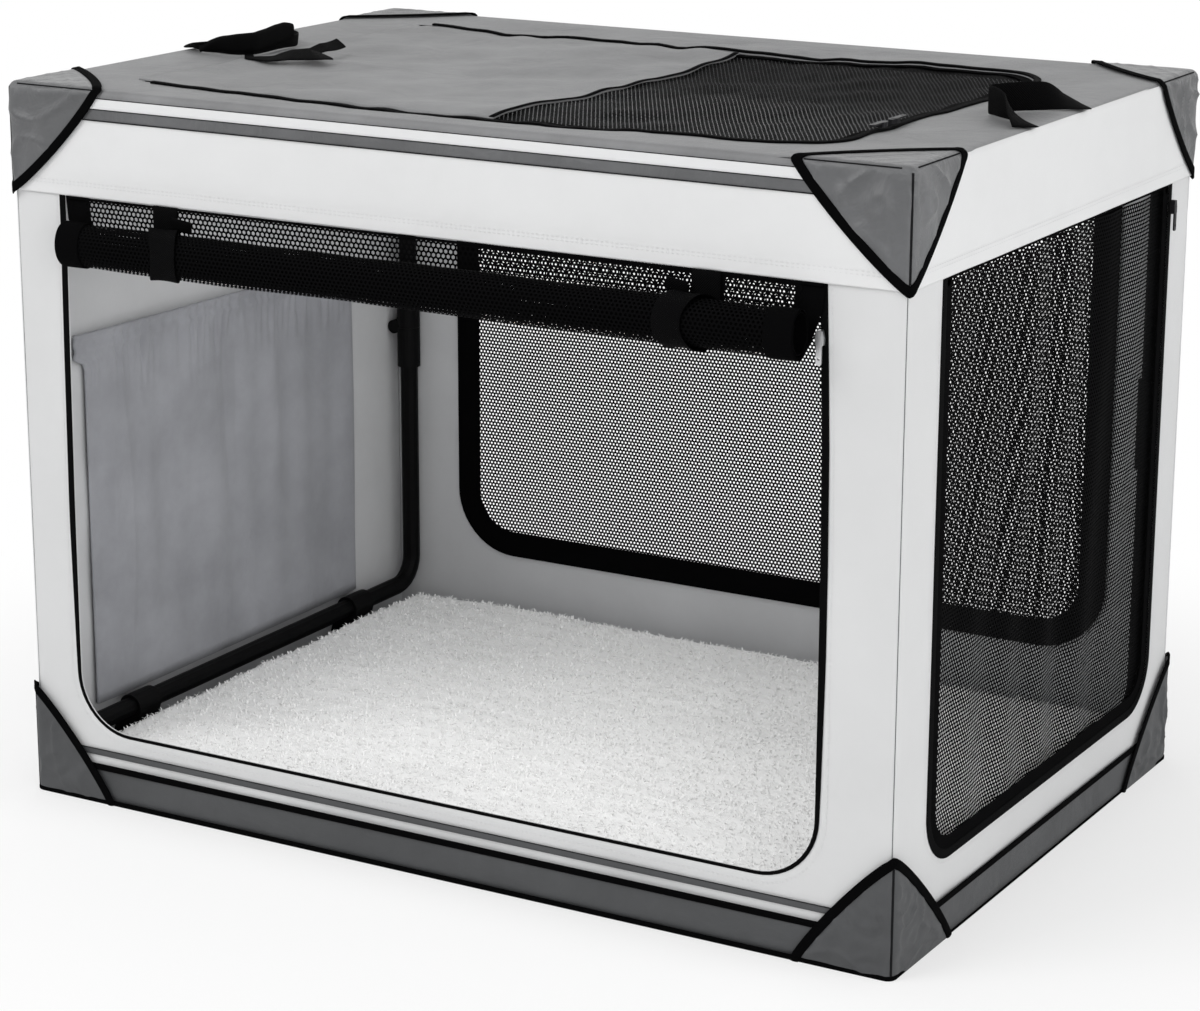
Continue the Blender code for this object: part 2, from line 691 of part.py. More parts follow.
def build_mat():
    """Fleece mat: low crown, soft edge drawn in at the sides."""
    half_x = POST_X - SADDLE_RADIUS - MAT_CLEARANCE
    half_y = POST_Y - SLEEVE_RADIUS - MAT_CLEARANCE
    low = LAYER
    bpy.ops.mesh.primitive_grid_add(x_subdivisions=10, y_subdivisions=7, size=2)
    item = bpy.context.active_object
    height = MAT_HEIGHT - low
    for vertex in item.data.vertices:
        x, y = vertex.co.x, vertex.co.y
        edge = max(abs(x), abs(y)) > 1 - GAP
        pinch = MAT_PINCH if edge else 0
        rise = height * (1 - MAT_CROWN_SHARE * max(x * x, y * y))
        vertex.co = (x * half_x, y * half_y, low + rise - pinch)
    shape = bmesh.new()
    shape.from_mesh(item.data)
    rim = [edge for edge in shape.edges if edge.is_boundary]
    made = bmesh.ops.extrude_edge_only(shape, edges=rim)
    for vertex in [part for part in made["geom"] if isinstance(part, bmesh.types.BMVert)]:
        vertex.co.z = low + MAT_PINCH
    rim = [part for part in made["geom"] if isinstance(part, bmesh.types.BMEdge)]
    made = bmesh.ops.extrude_edge_only(shape, edges=rim)
    rim_vertices = [part for part in made["geom"] if isinstance(part, bmesh.types.BMVert)]
    for vertex in rim_vertices:
        vertex.co.x -= MAT_PINCH * vertex.co.x / half_x
        vertex.co.y -= MAT_PINCH * vertex.co.y / half_y
        vertex.co.z = low
    rim = [part for part in made["geom"] if isinstance(part, bmesh.types.BMEdge)]
    bmesh.ops.contextual_create(shape, geom=rim)
    bmesh.ops.recalc_face_normals(shape, faces=shape.faces)
    shape.to_mesh(item.data)
    shape.free()
    smooth(finish(item, "fleece_mat", WHITE, 0.95), 60)


def corner_sheet(corner, reach, faces):
    """Cloth patch round a corner: the cube faces that meet there, cut by one plane."""
    shape = bmesh.new()
    bmesh.ops.create_cube(shape, size=1)
    inward = [-math.copysign(1, value) if value else 1 for value in corner]
    inward[2] = -1 if corner[2] > HEIGHT / 2 else 1
    for vertex in shape.verts:
        share = [(value + 0.5) if inward[axis] > 0 else (0.5 - value)
                 for axis, value in enumerate(vertex.co)]
        vertex.co = [corner[axis] + inward[axis] * share[axis] * 2 * reach[axis]
                     for axis in range(3)]
    bmesh.ops.recalc_face_normals(shape, faces=shape.faces)
    keep = []
    for face in shape.faces:
        middle = face.calc_center_median()
        for axis in faces:
            if abs(middle[axis] - corner[axis]) < GAP:
                keep.append(face)
    spare = [face for face in shape.faces if face not in keep]
    bmesh.ops.delete(shape, geom=spare, context="FACES")
    ends = [Vector([corner[i] + (inward[i] * reach[i] if i == axis else 0) for i in range(3)])
            for axis in range(3)]
    normal = (ends[1] - ends[0]).cross(ends[2] - ends[0]).normalized()
    if normal.dot(Vector(corner) - ends[0]) > 0:
        normal = -normal
    bmesh.ops.bisect_plane(shape, geom=shape.verts[:] + shape.edges[:] + shape.faces[:],
                           plane_co=ends[0], plane_no=normal, clear_outer=True)
    mesh = bpy.data.meshes.new("corner")
    shape.to_mesh(mesh)
    shape.free()
    item = bpy.data.objects.new("corner", mesh)
    bpy.context.scene.collection.objects.link(item)
    thick = item.modifiers.new("cloth", "SOLIDIFY")
    thick.thickness = CLOTH
    thick.offset = -1
    thick.use_even_offset = True
    return item


def build_gussets():
    for x_side, x_name in ((-1, "left"), (1, "right")):
        for y_side, y_name in ((-1, "front"), (1, "back")):
            corner = (x_side * HALF_X, y_side * HALF_Y, HEIGHT)
            top = corner_sheet(corner, (TOP_GUSSET_X, TOP_GUSSET_Y, TOP_GUSSET_Z), (0, 1, 2))
            hang(finish(top, f"top_gusset_{x_name}_{y_name}", GREY, 0.6), PIVOTS["roof"])
            corner = (x_side * HALF_X, y_side * HALF_Y, 0)
            reach = (BOTTOM_GUSSET_X, BOTTOM_GUSSET_Y, BOTTOM_GUSSET_Z)
            low = corner_sheet(corner, reach, (0, 1))
            finish(low, f"bottom_gusset_{x_name}_{y_name}", DARK_GREY, 0.7)


def build_roof():
    """Roof panel with its doorway, and the band that hangs from its edge."""
    carrier = PIVOTS["roof"]
    opening = round_loop([(ROOF_LEFT, ROOF_FRONT), (ROOF_RIGHT, ROOF_FRONT),
                          (ROOF_RIGHT, ROOF_BACK), (ROOF_LEFT, ROOF_BACK)],
                         [0, ROOF_CORNER, ROOF_CORNER, 0])
    outer = rectangle(-BAND_X, -BAND_Y, BAND_X, BAND_Y, CLOTH)
    panel = plate([outer, opening], CLOTH, (0, 0, ROOF_TOP - CLOTH / 2), FACING_UP)
    hang(finish(panel, "roof_panel", GREY, 0.75), carrier)
    upper = band(BAND_X, BAND_Y, HEM_Z, ROOF_UNDER - GAP)
    hang(finish(upper, "upper_band", PALE, 0.8), carrier)
    build_roof_zip(carrier)
    build_roof_door()


def build_roof_zip(carrier):
    """Zip tape on three sides of the roof doorway: front, right and back."""
    width = ZIP_WIDTH
    outer = round_loop([(ROOF_LEFT, ROOF_FRONT - width), (ROOF_RIGHT + width, ROOF_FRONT - width),
                        (ROOF_RIGHT + width, ROOF_BACK + width), (ROOF_LEFT, ROOF_BACK + width)],
                       [0, ROOF_CORNER + width, ROOF_CORNER + width, 0])
    inner = round_loop([(ROOF_LEFT, ROOF_FRONT), (ROOF_RIGHT, ROOF_FRONT),
                        (ROOF_RIGHT, ROOF_BACK), (ROOF_LEFT, ROOF_BACK)],
                       [0, ROOF_CORNER, ROOF_CORNER, 0])
    z = ROOF_TOP + GAP + ZIP_THICKNESS / 2
    item = plate([outer + inner[::-1]], ZIP_THICKNESS, (0, 0, z), FACING_UP)
    hang(finish(item, "roof_zip", BLACK, 0.7), carrier)


def build_roof_door():
    """Roof door: net across the doorway, its left half under a grey cover."""
    carrier = PIVOTS["roof_door"]
    left = ROOF_LEFT + ROOF_HINGE_GAP
    right = ROOF_RIGHT - SEAM_GAP
    low, high = ROOF_FRONT + SEAM_GAP, ROOF_BACK - SEAM_GAP
    radius = ROOF_CORNER - SEAM_GAP
    net = round_loop([(left, low), (right, low), (right, high), (left, high)],
                     [0, radius, radius, 0])
    holes = net_holes(left, low, right, high, ROOF_NET_GRID)
    item = plate([net] + holes, CLOTH, (0, 0, ROOF_TOP - CLOTH / 2), FACING_UP)
    hang(finish(item, "roof_door_net", BLACK, 0.85), carrier)
    z = ROOF_TOP + GAP + ZIP_THICKNESS / 2
    cover = rectangle(left + COVER_SETBACK, low, COVER_EDGE_X, high)
    item = plate([cover], ZIP_THICKNESS, (0, 0, z), FACING_UP)
    hang(finish(item, "roof_door_cover", GREY, 0.75), carrier)


def spiral(turn, radius_offset):
    """Point on the rolled door's spiral, seen along the roll."""
    angle = 2 * math.pi * turn
    radius = ROLL_RADIUS - ROLL_PITCH * (ROLL_TURNS - turn) - radius_offset
    return Vector((ROLL_Y + radius * math.cos(angle), ROLL_Z + radius * math.sin(angle)))


def build_roll():
    """Front door rolled up under the hem: one sheet that hangs, then winds inwards."""
    count = ROLL_TURNS * SPIRAL_STEPS
    turns = [ROLL_TURNS * step / count for step in range(count + 1)]
    outer = [spiral(turn, 0) for turn in turns]
    inner = [spiral(turn, ROLL_CLOTH) for turn in turns]
    top = [Vector((ROLL_BACK_Y, ROLL_TOP_Z)), Vector((ROLL_BACK_Y - ROLL_CLOTH, ROLL_TOP_Z))]
    loop = outer + top + inner[::-1]
    length = FRONT_RIGHT - FRONT_LEFT - 2 * ROLL_END_INSET
    middle = (FRONT_RIGHT + FRONT_LEFT) / 2
    item = plate([loop], length, (middle, 0, 0), FACING_SIDE)
    least = min((outer[i + SPIRAL_STEPS] - outer[i]).length for i in range(count - SPIRAL_STEPS))
    print("rolled door: least gap between turns, mm:", round(1000 * (least - ROLL_CLOTH), 2))
    hang(smooth(finish(item, "front_door_roll", BLACK, 0.85)), PIVOTS["roll"])


def ribbon_loop(points, thickness):
    """Outline of a ribbon of even thickness that follows a path."""
    left, right = [], []
    count = len(points)
    for index, point in enumerate(points):
        ahead = points[min(index + 1, count - 1)]
        behind = points[max(index - 1, 0)]
        along = (ahead - behind).normalized()
        across = Vector((-along.y, along.x)) * (thickness / 2)
        left.append(point + across)
        right.append(point - across)
    return left + right[::-1]


def strap_path():
    """Down behind the hanging net, round under the roll and up to the hem in front."""
    radius = ROLL_RADIUS + GAP + STRAP_THICKNESS / 2
    centre = Vector((ROLL_Y, ROLL_Z))
    front = Vector((ROLL_BACK_Y - ROLL_CLOTH - GAP - STRAP_THICKNESS, ROLL_TOP_Z))
    reach = front - centre
    leave = math.atan2(reach.y, reach.x) + math.acos(radius / reach.length) - 2 * math.pi
    points = [Vector((ROLL_Y + radius, ROLL_TOP_Z))]
    for step in range(ROUND_SIDES + 1):
        angle = leave * step / ROUND_SIDES
        points.append(centre + radius * Vector((math.cos(angle), math.sin(angle))))
    return points + [front]


def build_straps():
    for name, x in (("roll_strap_left", STRAP_LEFT_X), ("roll_strap_right", STRAP_RIGHT_X)):
        loop = ribbon_loop(strap_path(), STRAP_THICKNESS)
        item = plate([loop], STRAP_WIDTH, (x, 0, 0), FACING_SIDE)
        hang(smooth(finish(item, name, BLACK, 0.8)), PIVOTS["roll"])


def handle_path(side):
    """Plan of a handle: in from the roof edge, round, and back out to it."""
    half = HANDLE_SPREAD / 2
    tip = half * HANDLE_TIP_SHARE
    corners = [(side * HANDLE_X, HANDLE_CENTRE_Y - half),
               (side * (HANDLE_X - HANDLE_REACH), HANDLE_CENTRE_Y - tip),
               (side * (HANDLE_X - HANDLE_REACH), HANDLE_CENTRE_Y + tip),
               (side * HANDLE_X, HANDLE_CENTRE_Y + half)]
    bend = HANDLE_REACH * HANDLE_BEND_SHARE
    return round_loop(corners, [0, bend, bend, 0])


def build_handles():
    low = ROOF_TOP + GAP
    for side, label in ((-1, "left"), (1, "right")):
        loop = ribbon_loop(handle_path(side), WEBBING_THICKNESS)
        item = plate([loop], WEBBING_WIDTH, (0, 0, low + WEBBING_WIDTH / 2), FACING_UP)
        hang(smooth(finish(item, label + "_handle", BLACK, 0.8)), PIVOTS[label + "_handle"])
    build_grip(low)


def build_grip(low):
    """Padded grip that wraps the left handle's middle run."""
    path = handle_path(-1)
    slot = ribbon_loop(path, WEBBING_THICKNESS + 2 * GAP)
    item = plate([ribbon_loop(path[2:-2], GRIP_THICKNESS)], GRIP_WIDTH,
                 (0, 0, low + GRIP_WIDTH / 2), FACING_UP)
    cutter = plate([slot], WEBBING_WIDTH + GAP + OVERRUN,
                   (0, 0, low + (WEBBING_WIDTH + GAP - OVERRUN) / 2), FACING_UP)
    combine(item, [cutter], "DIFFERENCE")
    hang(smooth(finish(item, "left_grip", BLACK, 0.85)), PIVOTS["left_handle"])


def slider_shape():
    """Zip slider lying in the XY plane, its pull hanging towards -Y."""
    half = SLIDER_WIDTH / 2
    nose = half * SLIDER_NOSE_SHARE
    outline = [(-half, 0), (half, 0), (half, SLIDER_LENGTH / 2), (nose, SLIDER_LENGTH),
               (-nose, SLIDER_LENGTH), (-half, SLIDER_LENGTH / 2)]
    radius = nose * SLIDER_NOSE_SHARE
    body = plate([round_loop(outline, [radius] * 6)], SLIDER_HEIGHT,
                 (0, 0, SLIDER_HEIGHT / 2), FACING_UP)
    half = PULL_WIDTH / 2
    pull_top = SLIDER_LENGTH * PULL_TOP_SHARE
    pull = rectangle(-half, pull_top - PULL_LENGTH, half, pull_top, half * PULL_ROUND_SHARE)
    hole = circle(0, pull_top - PULL_LENGTH + 2 * half, PULL_HOLE, ROUND_SIDES // 2)
    z = SLIDER_HEIGHT - PULL_THICKNESS * PULL_SINK_SHARE
    tab = plate([pull, hole], PULL_THICKNESS, (0, 0, z), FACING_UP)
    return combine(body, [tab], "UNION")


def build_slider(name, place, turn, carrier):
    item = slider_shape()
    item.matrix_world = Matrix.Translation(place) @ turn
    bpy.context.view_layer.update()
    hang(finish(item, name, METAL, 0.35, 0.9), carrier)


def build_sliders():
    """One slider on each door zip, and a pair that meet on the roof door's."""
    out = GAP + ZIP_THICKNESS + GAP
    front = Matrix.Rotation(math.pi / 2, 4, "X")
    place = Vector((FRONT_RIGHT + ZIP_WIDTH / 2, -WALL_Y - out, FRONT_SLIDER_Z))
    build_slider("front_zip_slider", place, front, PIVOTS["front_slider"])
    side = Matrix.Rotation(math.pi / 2, 4, "Z") @ front
    place = Vector((WALL_X + out, SIDE_BACK + ZIP_WIDTH / 2, SIDE_SLIDER_Z))
    build_slider("side_zip_slider", place, side, PIVOTS["side_slider"])
    x = ROOF_RIGHT + ZIP_WIDTH / 2
    z = ROOF_TOP + out
    place = Vector((x, ROOF_SLIDER_FRONT_Y, z))
    build_slider("roof_zip_slider_front", place, Matrix(), PIVOTS["roof_slider_front"])
    place = Vector((x, ROOF_SLIDER_FRONT_Y + ROOF_SLIDER_SPACING + SLIDER_LENGTH, z))
    turn = Matrix.Rotation(math.pi, 4, "Z")
    build_slider("roof_zip_slider_back", place, turn, PIVOTS["roof_slider_back"])


def build_pivots():
    """Empties on the joints' axes. The fold runs base, left post, roof."""
    for side, label in ((-1, "left"), (1, "right")):
        lower = pivot(label + "_lower_axis", (side * POST_X, 0, LOW_PIVOT_Z))
        knee = (side * (POST_X + KNEE_OFFSET), 0, KNEE_Z)
        PIVOTS[label + "_lower"] = lower
        PIVOTS[label + "_upper"] = pivot(label + "_knee_axis", knee, lower)
    left = PIVOTS["left_upper"]
    roof = pivot("roof_axis", (-POST_X, 0, HIGH_PIVOT_Z), left)
    PIVOTS["roof"] = roof
    PIVOTS["roof_door"] = pivot("roof_door_axis",
                                (ROOF_LEFT + ROOF_HINGE_GAP, 0, ROOF_TOP - CLOTH / 2), roof)
    PIVOTS["side_door"] = pivot("side_door_axis", (WALL_X, 0, HEM_Z - HINGE_DROP))
    PIVOTS["roll"] = pivot("roll_axis", (0, ROLL_BACK_Y, ROLL_PIVOT_Z), roof)
    for side, label in ((-1, "left"), (1, "right")):
        place = (side * BAND_X, HANDLE_CENTRE_Y, ROOF_TOP + GAP)
        PIVOTS[label + "_handle"] = pivot(label + "_handle_axis", place, roof)
    PIVOTS["front_slider"] = pivot("front_slider_axis", (FRONT_RIGHT, -WALL_Y, FRONT_SLIDER_Z))
    PIVOTS["side_slider"] = pivot("side_slider_axis", (WALL_X, SIDE_BACK, SIDE_SLIDER_Z))
    for place, label in ((ROOF_SLIDER_FRONT_Y, "front"),
                         (ROOF_SLIDER_FRONT_Y + ROOF_SLIDER_SPACING, "back")):
        PIVOTS["roof_slider_" + label] = pivot(f"roof_slider_{label}_axis",
                                               (ROOF_RIGHT, place, ROOF_TOP), roof)


clear_scene()
CRATE = new_collection("soft_folding_dog_crate")
CUTTERS = new_collection("cutters")
PIVOTS = {}
build_pivots()
build_tub()
build_rings()
build_saddles()
build_posts()
build_mat()
build_walls()
build_front_zip()
build_back_window()
build_side_door()
build_pocket()
build_gussets()
build_roof()
build_roll()
build_straps()
build_handles()
build_sliders()
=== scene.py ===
import math

import bpy
import numpy as np
from mathutils import Matrix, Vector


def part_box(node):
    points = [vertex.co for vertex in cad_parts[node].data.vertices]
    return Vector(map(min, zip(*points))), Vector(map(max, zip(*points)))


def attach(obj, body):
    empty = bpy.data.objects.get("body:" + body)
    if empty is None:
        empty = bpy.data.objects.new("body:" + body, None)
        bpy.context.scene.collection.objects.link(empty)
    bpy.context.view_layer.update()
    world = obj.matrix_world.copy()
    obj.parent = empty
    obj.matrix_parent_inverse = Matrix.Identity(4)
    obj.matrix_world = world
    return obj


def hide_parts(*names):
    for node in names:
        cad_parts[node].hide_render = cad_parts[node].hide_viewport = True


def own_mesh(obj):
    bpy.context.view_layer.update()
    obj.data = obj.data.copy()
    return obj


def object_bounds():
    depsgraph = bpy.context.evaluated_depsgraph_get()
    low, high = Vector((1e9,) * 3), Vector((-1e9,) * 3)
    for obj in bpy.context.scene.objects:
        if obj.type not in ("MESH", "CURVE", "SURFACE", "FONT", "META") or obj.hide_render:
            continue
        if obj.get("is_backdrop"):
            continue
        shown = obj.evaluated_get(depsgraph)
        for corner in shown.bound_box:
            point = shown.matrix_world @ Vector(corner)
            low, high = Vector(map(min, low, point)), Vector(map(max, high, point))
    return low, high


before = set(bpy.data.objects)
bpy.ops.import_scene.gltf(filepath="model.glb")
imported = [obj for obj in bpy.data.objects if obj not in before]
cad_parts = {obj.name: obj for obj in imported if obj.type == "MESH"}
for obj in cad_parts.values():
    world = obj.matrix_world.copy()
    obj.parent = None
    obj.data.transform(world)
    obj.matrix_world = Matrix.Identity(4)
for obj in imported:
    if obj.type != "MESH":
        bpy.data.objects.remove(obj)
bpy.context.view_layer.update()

# Camera and light. The camera stands 30 degrees to the right of the crate's front and 15.5
# degrees up, with a long lens. The studio is white all round, with five soft square lamps.
CAMERA_PLACE = (1.5222, -2.6525, 1.1264)
CAMERA_AZIMUTH = 30.02
CAMERA_ELEVATION = 15.51
CAMERA_ROLL = 0.16
CAMERA_LENS = 98.8
CAMERA_SENSOR = 36.0
CAMERA_SHIFT = (-0.0009, -0.0034)
FAR_LIMIT = 200.0
STUDIO_LIGHT = 0.54


def turned(degrees, axis):
    """Turn by an angle about one axis."""
    return Matrix.Rotation(math.radians(degrees), 4, axis)


def placed(name, data):
    """New object of the scene, made of a mesh, a camera or a lamp."""
    item = bpy.data.objects.new(name, data)
    bpy.context.scene.collection.objects.link(item)
    return item


camera_data = bpy.data.cameras.new("camera")
camera_data.lens = CAMERA_LENS
camera_data.sensor_width = CAMERA_SENSOR
camera_data.shift_x, camera_data.shift_y = CAMERA_SHIFT
camera_data.clip_end = FAR_LIMIT
camera = placed("camera", camera_data)
camera.matrix_world = (Matrix.Translation(CAMERA_PLACE) @ turned(CAMERA_AZIMUTH, "Z")
                       @ turned(90 - CAMERA_ELEVATION, "X") @ turned(CAMERA_ROLL, "Z"))
bpy.context.scene.camera = camera
bpy.context.scene.view_settings.view_transform = "Standard"


def fill(tree, made, inputs):
    """Set a shader node's inputs: a number or a colour is set, another node's output is linked."""
    for key, value in inputs.items():
        if isinstance(value, bpy.types.NodeSocket):
            tree.links.new(value, made.inputs[key])
        else:
            made.inputs[key].default_value = value


def wire(tree, kind, inputs, output=0, **settings):
    """Output of a new shader node, with its settings and its inputs."""
    made = tree.nodes.new("ShaderNode" + kind)
    for key, value in settings.items():
        setattr(made, key, value)
    fill(tree, made, inputs)
    return made.outputs[output]


def math_of(tree, operation, *inputs):
    """Output of a new Math node."""
    return wire(tree, "Math", dict(enumerate(inputs)), operation=operation)


def white_where_seen(tree, shader, target):
    """White to the camera, to mirrors and through glass, and the shader to all other rays."""
    rays = tree.nodes.new("ShaderNodeLightPath").outputs
    seen = math_of(tree, "MAXIMUM", rays["Is Camera Ray"], rays["Is Glossy Ray"])
    seen = math_of(tree, "MAXIMUM", seen, rays["Is Transmission Ray"])
    white = wire(tree, "Background", {"Color": (1, 1, 1, 1), "Strength": 1.0})
    mixed = wire(tree, "MixShader", {0: seen, 1: shader.outputs[0], 2: white})
    tree.links.new(mixed, target)


world = bpy.data.worlds.new("studio")
bpy.context.scene.world = world
world.use_nodes = True
sky = world.node_tree.nodes["Background"]
fill(world.node_tree, sky, {"Color": (1, 1, 1, 1), "Strength": STUDIO_LIGHT})
white_where_seen(world.node_tree, sky, world.node_tree.nodes["World Output"].inputs["Surface"])


def lamp(name, place, aim, size, power):
    """Soft square lamp at a place. It turns about the upright by the azimuth of the line from
    its aim, and tips by that line's angle from the upright."""
    data = bpy.data.lights.new(name, "AREA")
    data.shape = "SQUARE"
    data.size = size
    data.energy = power
    item = placed(name, data)
    away = np.array(place, float) - np.array(aim, float)
    azimuth = math.degrees(math.atan2(away[0], -away[1]))
    tilt = math.degrees(math.atan2(math.hypot(away[0], away[1]), away[2]))
    item.matrix_world = Matrix.Translation(place) @ turned(azimuth, "Z") @ turned(tilt, "X")
    item.visible_camera = False


lamp("key", place=(2.7, -2.3, 1.4), aim=(0, 0, 0.3), size=2.0, power=27)
lamp("left", place=(-1.4, -2.4, 2.9), aim=(0, -0.1, 0.1), size=2.0, power=54)
lamp("side", place=(3.7, 0.3, 1.6), aim=(0, 0, 0.35), size=2.0, power=30)
lamp("inside", place=(0, 0, 0.63), aim=(0, 0.0001, 0), size=0.6, power=1.6)
lamp("back", place=(-1.9, 3.1, 0.34), aim=(0, 0.32, 0.34), size=0.6, power=24)


# Floor. A plain white sheet that keeps the crate's soft shadow. To the camera alone it is
# partly plain white near the crate, and all white from about a metre away.
FLOOR_REACH = 30.0
FLOOR_COLOUR = (0.93, 0.93, 0.93, 1)
FLOOR_ROUGHNESS = 0.9
FADE_FROM, FADE_TO = 0.45, 1.05
FADE_LEAST = 0.55


def new_paint(name):
    """New material, its node tree and its shader."""
    made = bpy.data.materials.new(name)
    made.use_nodes = True
    return made, made.node_tree, made.node_tree.nodes["Principled BSDF"]


floor_mesh = bpy.data.meshes.new("floor")
floor_mesh.from_pydata([(-FLOOR_REACH, -FLOOR_REACH, 0), (FLOOR_REACH, -FLOOR_REACH, 0),
                        (FLOOR_REACH, FLOOR_REACH, 0), (-FLOOR_REACH, FLOOR_REACH, 0)], [], [(0, 1, 2, 3)])
placed("floor", floor_mesh)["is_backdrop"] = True
floor_paint, floor_tree, floor_shader = new_paint("floor")
fill(floor_tree, floor_shader, {"Base Color": FLOOR_COLOUR, "Roughness": FLOOR_ROUGHNESS})
from_middle = wire(floor_tree, "TexCoord", {}, "Object")
distance = wire(floor_tree, "VectorMath", {0: from_middle}, "Value", operation="LENGTH")
fade = wire(floor_tree, "MapRange", {"Value": distance, "From Min": FADE_FROM, "From Max": FADE_TO,
                                     "To Min": FADE_LEAST}, interpolation_type="SMOOTHSTEP")
camera_sees = wire(floor_tree, "LightPath", {}, "Is Camera Ray")
plain_white = math_of(floor_tree, "MULTIPLY", fade, camera_sees)
white = wire(floor_tree, "Emission", {})
floor_look = wire(floor_tree, "MixShader", {0: plain_white, 1: floor_shader.outputs[0], 2: white})
floor_tree.links.new(floor_look, floor_tree.nodes["Material Output"].inputs["Surface"])
floor_mesh.materials.append(floor_paint)


# Cover. The crate is a box of sewn cloth with softly rounded edges, in three layers:
# the corner patches outside, the bands and the roof next, the walls inside them.
HALF_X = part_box("top_gusset_right_front")[1].x
HALF_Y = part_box("top_gusset_right_back")[1].y
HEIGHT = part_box("top_gusset_right_back")[1].z
LAYER = HALF_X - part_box("upper_band")[1].x
CLOTH = 0.0012
EDGE_ROUND = 0.0075
CENTRE = np.array([0, 0, HEIGHT / 2])


def on_cover(points, depth, foot=-1.0):
    """Point of the rounded box at a depth under its outermost layer. It stands one corner
    radius away from the nearest point of the box that is smaller by that radius."""
    half = np.array([HALF_X, HALF_Y])
    low = np.append(-half + depth, foot)
    high = np.append(half - depth, HEIGHT - depth)
    near = np.clip(points, low, high)
    core = np.clip(near, np.append(-half + EDGE_ROUND, foot), np.append(half, HEIGHT) - EDGE_ROUND)
    away = near - core
    length = np.maximum(np.linalg.norm(away, axis=-1, keepdims=True), 1e-9)
    return core + away / length * (EDGE_ROUND - depth)


# Walls. Each is one piece of pale coated cloth with a grey lining, sewn to its neighbours at
# the corners. The front, right and back ones are cut out for a door or a window.
WALL_DEPTH = 2 * LAYER
WALL_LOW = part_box("front_wall")[0].z
WALL_ROWS = np.array([0, 0.03, 0.06, 0.09, 0.13, 0.2, 0.3, 0.4, 0.5, 0.6, 0.7, 0.8, 0.9, 1.0])
WALL_SLACK = 0.0007
LEFT_WALL_SLACK = 0.0008
LEFT_SLACK_SIDE, LEFT_SLACK_FOOT, LEFT_SLACK_RISE = 0.05, 0.03, 0.06
SLACK_SIZE = 0.16
WALL_KEEP = 0.19
ZIP_WIDTH = 0.007
DOOR_TOP = 0.600
FRONT_DOOR_RADII = (0.055, 0.055, 0.0, 0.0)
SIDE_DOOR_RADII = (0.045, 0.045, 0.0, 0.0)
BACK_RADII = (0.055, 0.055, 0.008, 0.008)
BACK_MARGIN = 0.016
LEFT_LEAN = ([0.05, 0.15, 0.30, 0.45, 0.56], [-0.0033, -0.0035, -0.0028, -0.0010, 0.0008])
RIGHT_LEAN = ([0.05, 0.15, 0.25, 0.35, 0.45, 0.52, 0.60],
              [-0.0044, -0.0034, -0.0031, -0.0032, -0.0042, -0.0062, -0.0092])
THREAD_SHADE = 0.12
THREAD_RELIEF = 0.3
# Noise of the colour: uneven dye, and where a cloth's mottle is strong, painted shade of soft folds as well.
DYE_AND_FOLD_SHADE_NOISE = {"Scale": 9.0, "Detail": 6.0, "Roughness": 0.65}
DYE_AND_SHADE_LOW, DYE_AND_SHADE_HIGH = 0.3, 0.7
CRUMPLE_NOISE = {"Detail": 4.0, "Distortion": 0.6}
CRUMPLE_RELIEF = 0.006


def cloth(name, colour, roughness=0.75, thread=0.0009, weave=0.25, mottle=0.04, sheen=0.1,
          crumple=0.0, crumple_size=14.0, gloss=0.35):
    """Woven cloth: threads over and under as two crossed sine waves on the piece's UV, a soft
    mottle of its colour, and where it is asked for, fine crumples. The mottle is uneven dye, and
    where it is strong it is also painted shade of soft folds."""
    made, tree, shader = new_paint(name)
    places = tree.nodes.new("ShaderNodeTexCoord").outputs
    split = tree.nodes.new("ShaderNodeSeparateXYZ")
    fill(tree, split, {0: places["UV"]})
    turns = [math_of(tree, "MULTIPLY", split.outputs[axis], 2 * math.pi / thread) for axis in range(2)]
    over = math_of(tree, "MULTIPLY", *[math_of(tree, "SINE", turn) for turn in turns])
    uneven = wire(tree, "TexNoise", {"Vector": places["Object"], **DYE_AND_FOLD_SHADE_NOISE})
    shade = wire(tree, "MapRange", {"Value": uneven, "From Min": DYE_AND_SHADE_LOW, "From Max": DYE_AND_SHADE_HIGH,
                                    "To Min": 1 - mottle, "To Max": 1 + mottle})
    thready = math_of(tree, "MULTIPLY_ADD", over, weave * THREAD_SHADE, shade)
    tint = wire(tree, "VectorMath", {0: colour, "Scale": thready}, operation="SCALE")
    relief = wire(tree, "Bump", {"Strength": weave, "Distance": thread * THREAD_RELIEF, "Height": over})
    if crumple:
        folds = wire(tree, "TexNoise", {"Vector": places["Object"], "Scale": crumple_size, **CRUMPLE_NOISE})
        relief = wire(tree, "Bump", {"Strength": crumple, "Distance": CRUMPLE_RELIEF, "Height": folds,
                                     "Normal": relief})
    fill(tree, shader, {"Base Color": tint, "Normal": relief, "Roughness": roughness,
                        "Specular IOR Level": gloss, "Sheen Weight": sheen, "Sheen Roughness": 0.5})
    return made


PALE = cloth("pale_cloth", (0.66, 0.664, 0.667), 0.7, crumple=0.3, crumple_size=7.0, mottle=0.02)
LINING = cloth("lining_cloth", (0.60, 0.605, 0.615), 0.8, crumple=0.4, crumple_size=8.0)


def ripple(u, v, size, amount, seed):
    """Soft random relief: eight sine waves of about one size in unlike directions, added."""
    dice = np.random.default_rng(seed)
    total = 0.0
    for turn, wave, phase in zip(dice.uniform(0, math.pi, 8), dice.uniform(0.6, 1.7, 8),
                                 dice.uniform(0, 2 * math.pi, 8)):
        along = u * math.cos(turn) + v * math.sin(turn)
        total = total + np.sin(2 * math.pi * along / (size * wave) + phase)
    return amount * total / 3


def lengths(points, axis, wrap):
    """Distance run along one side of a grid, averaged over the other side."""
    if wrap:
        points = np.concatenate([points, np.take(points, [0], axis=axis)], axis=axis)
    steps = np.linalg.norm(np.diff(points, axis=axis), axis=-1).mean(axis=1 - axis)
    return np.concatenate([[0], np.cumsum(steps)])


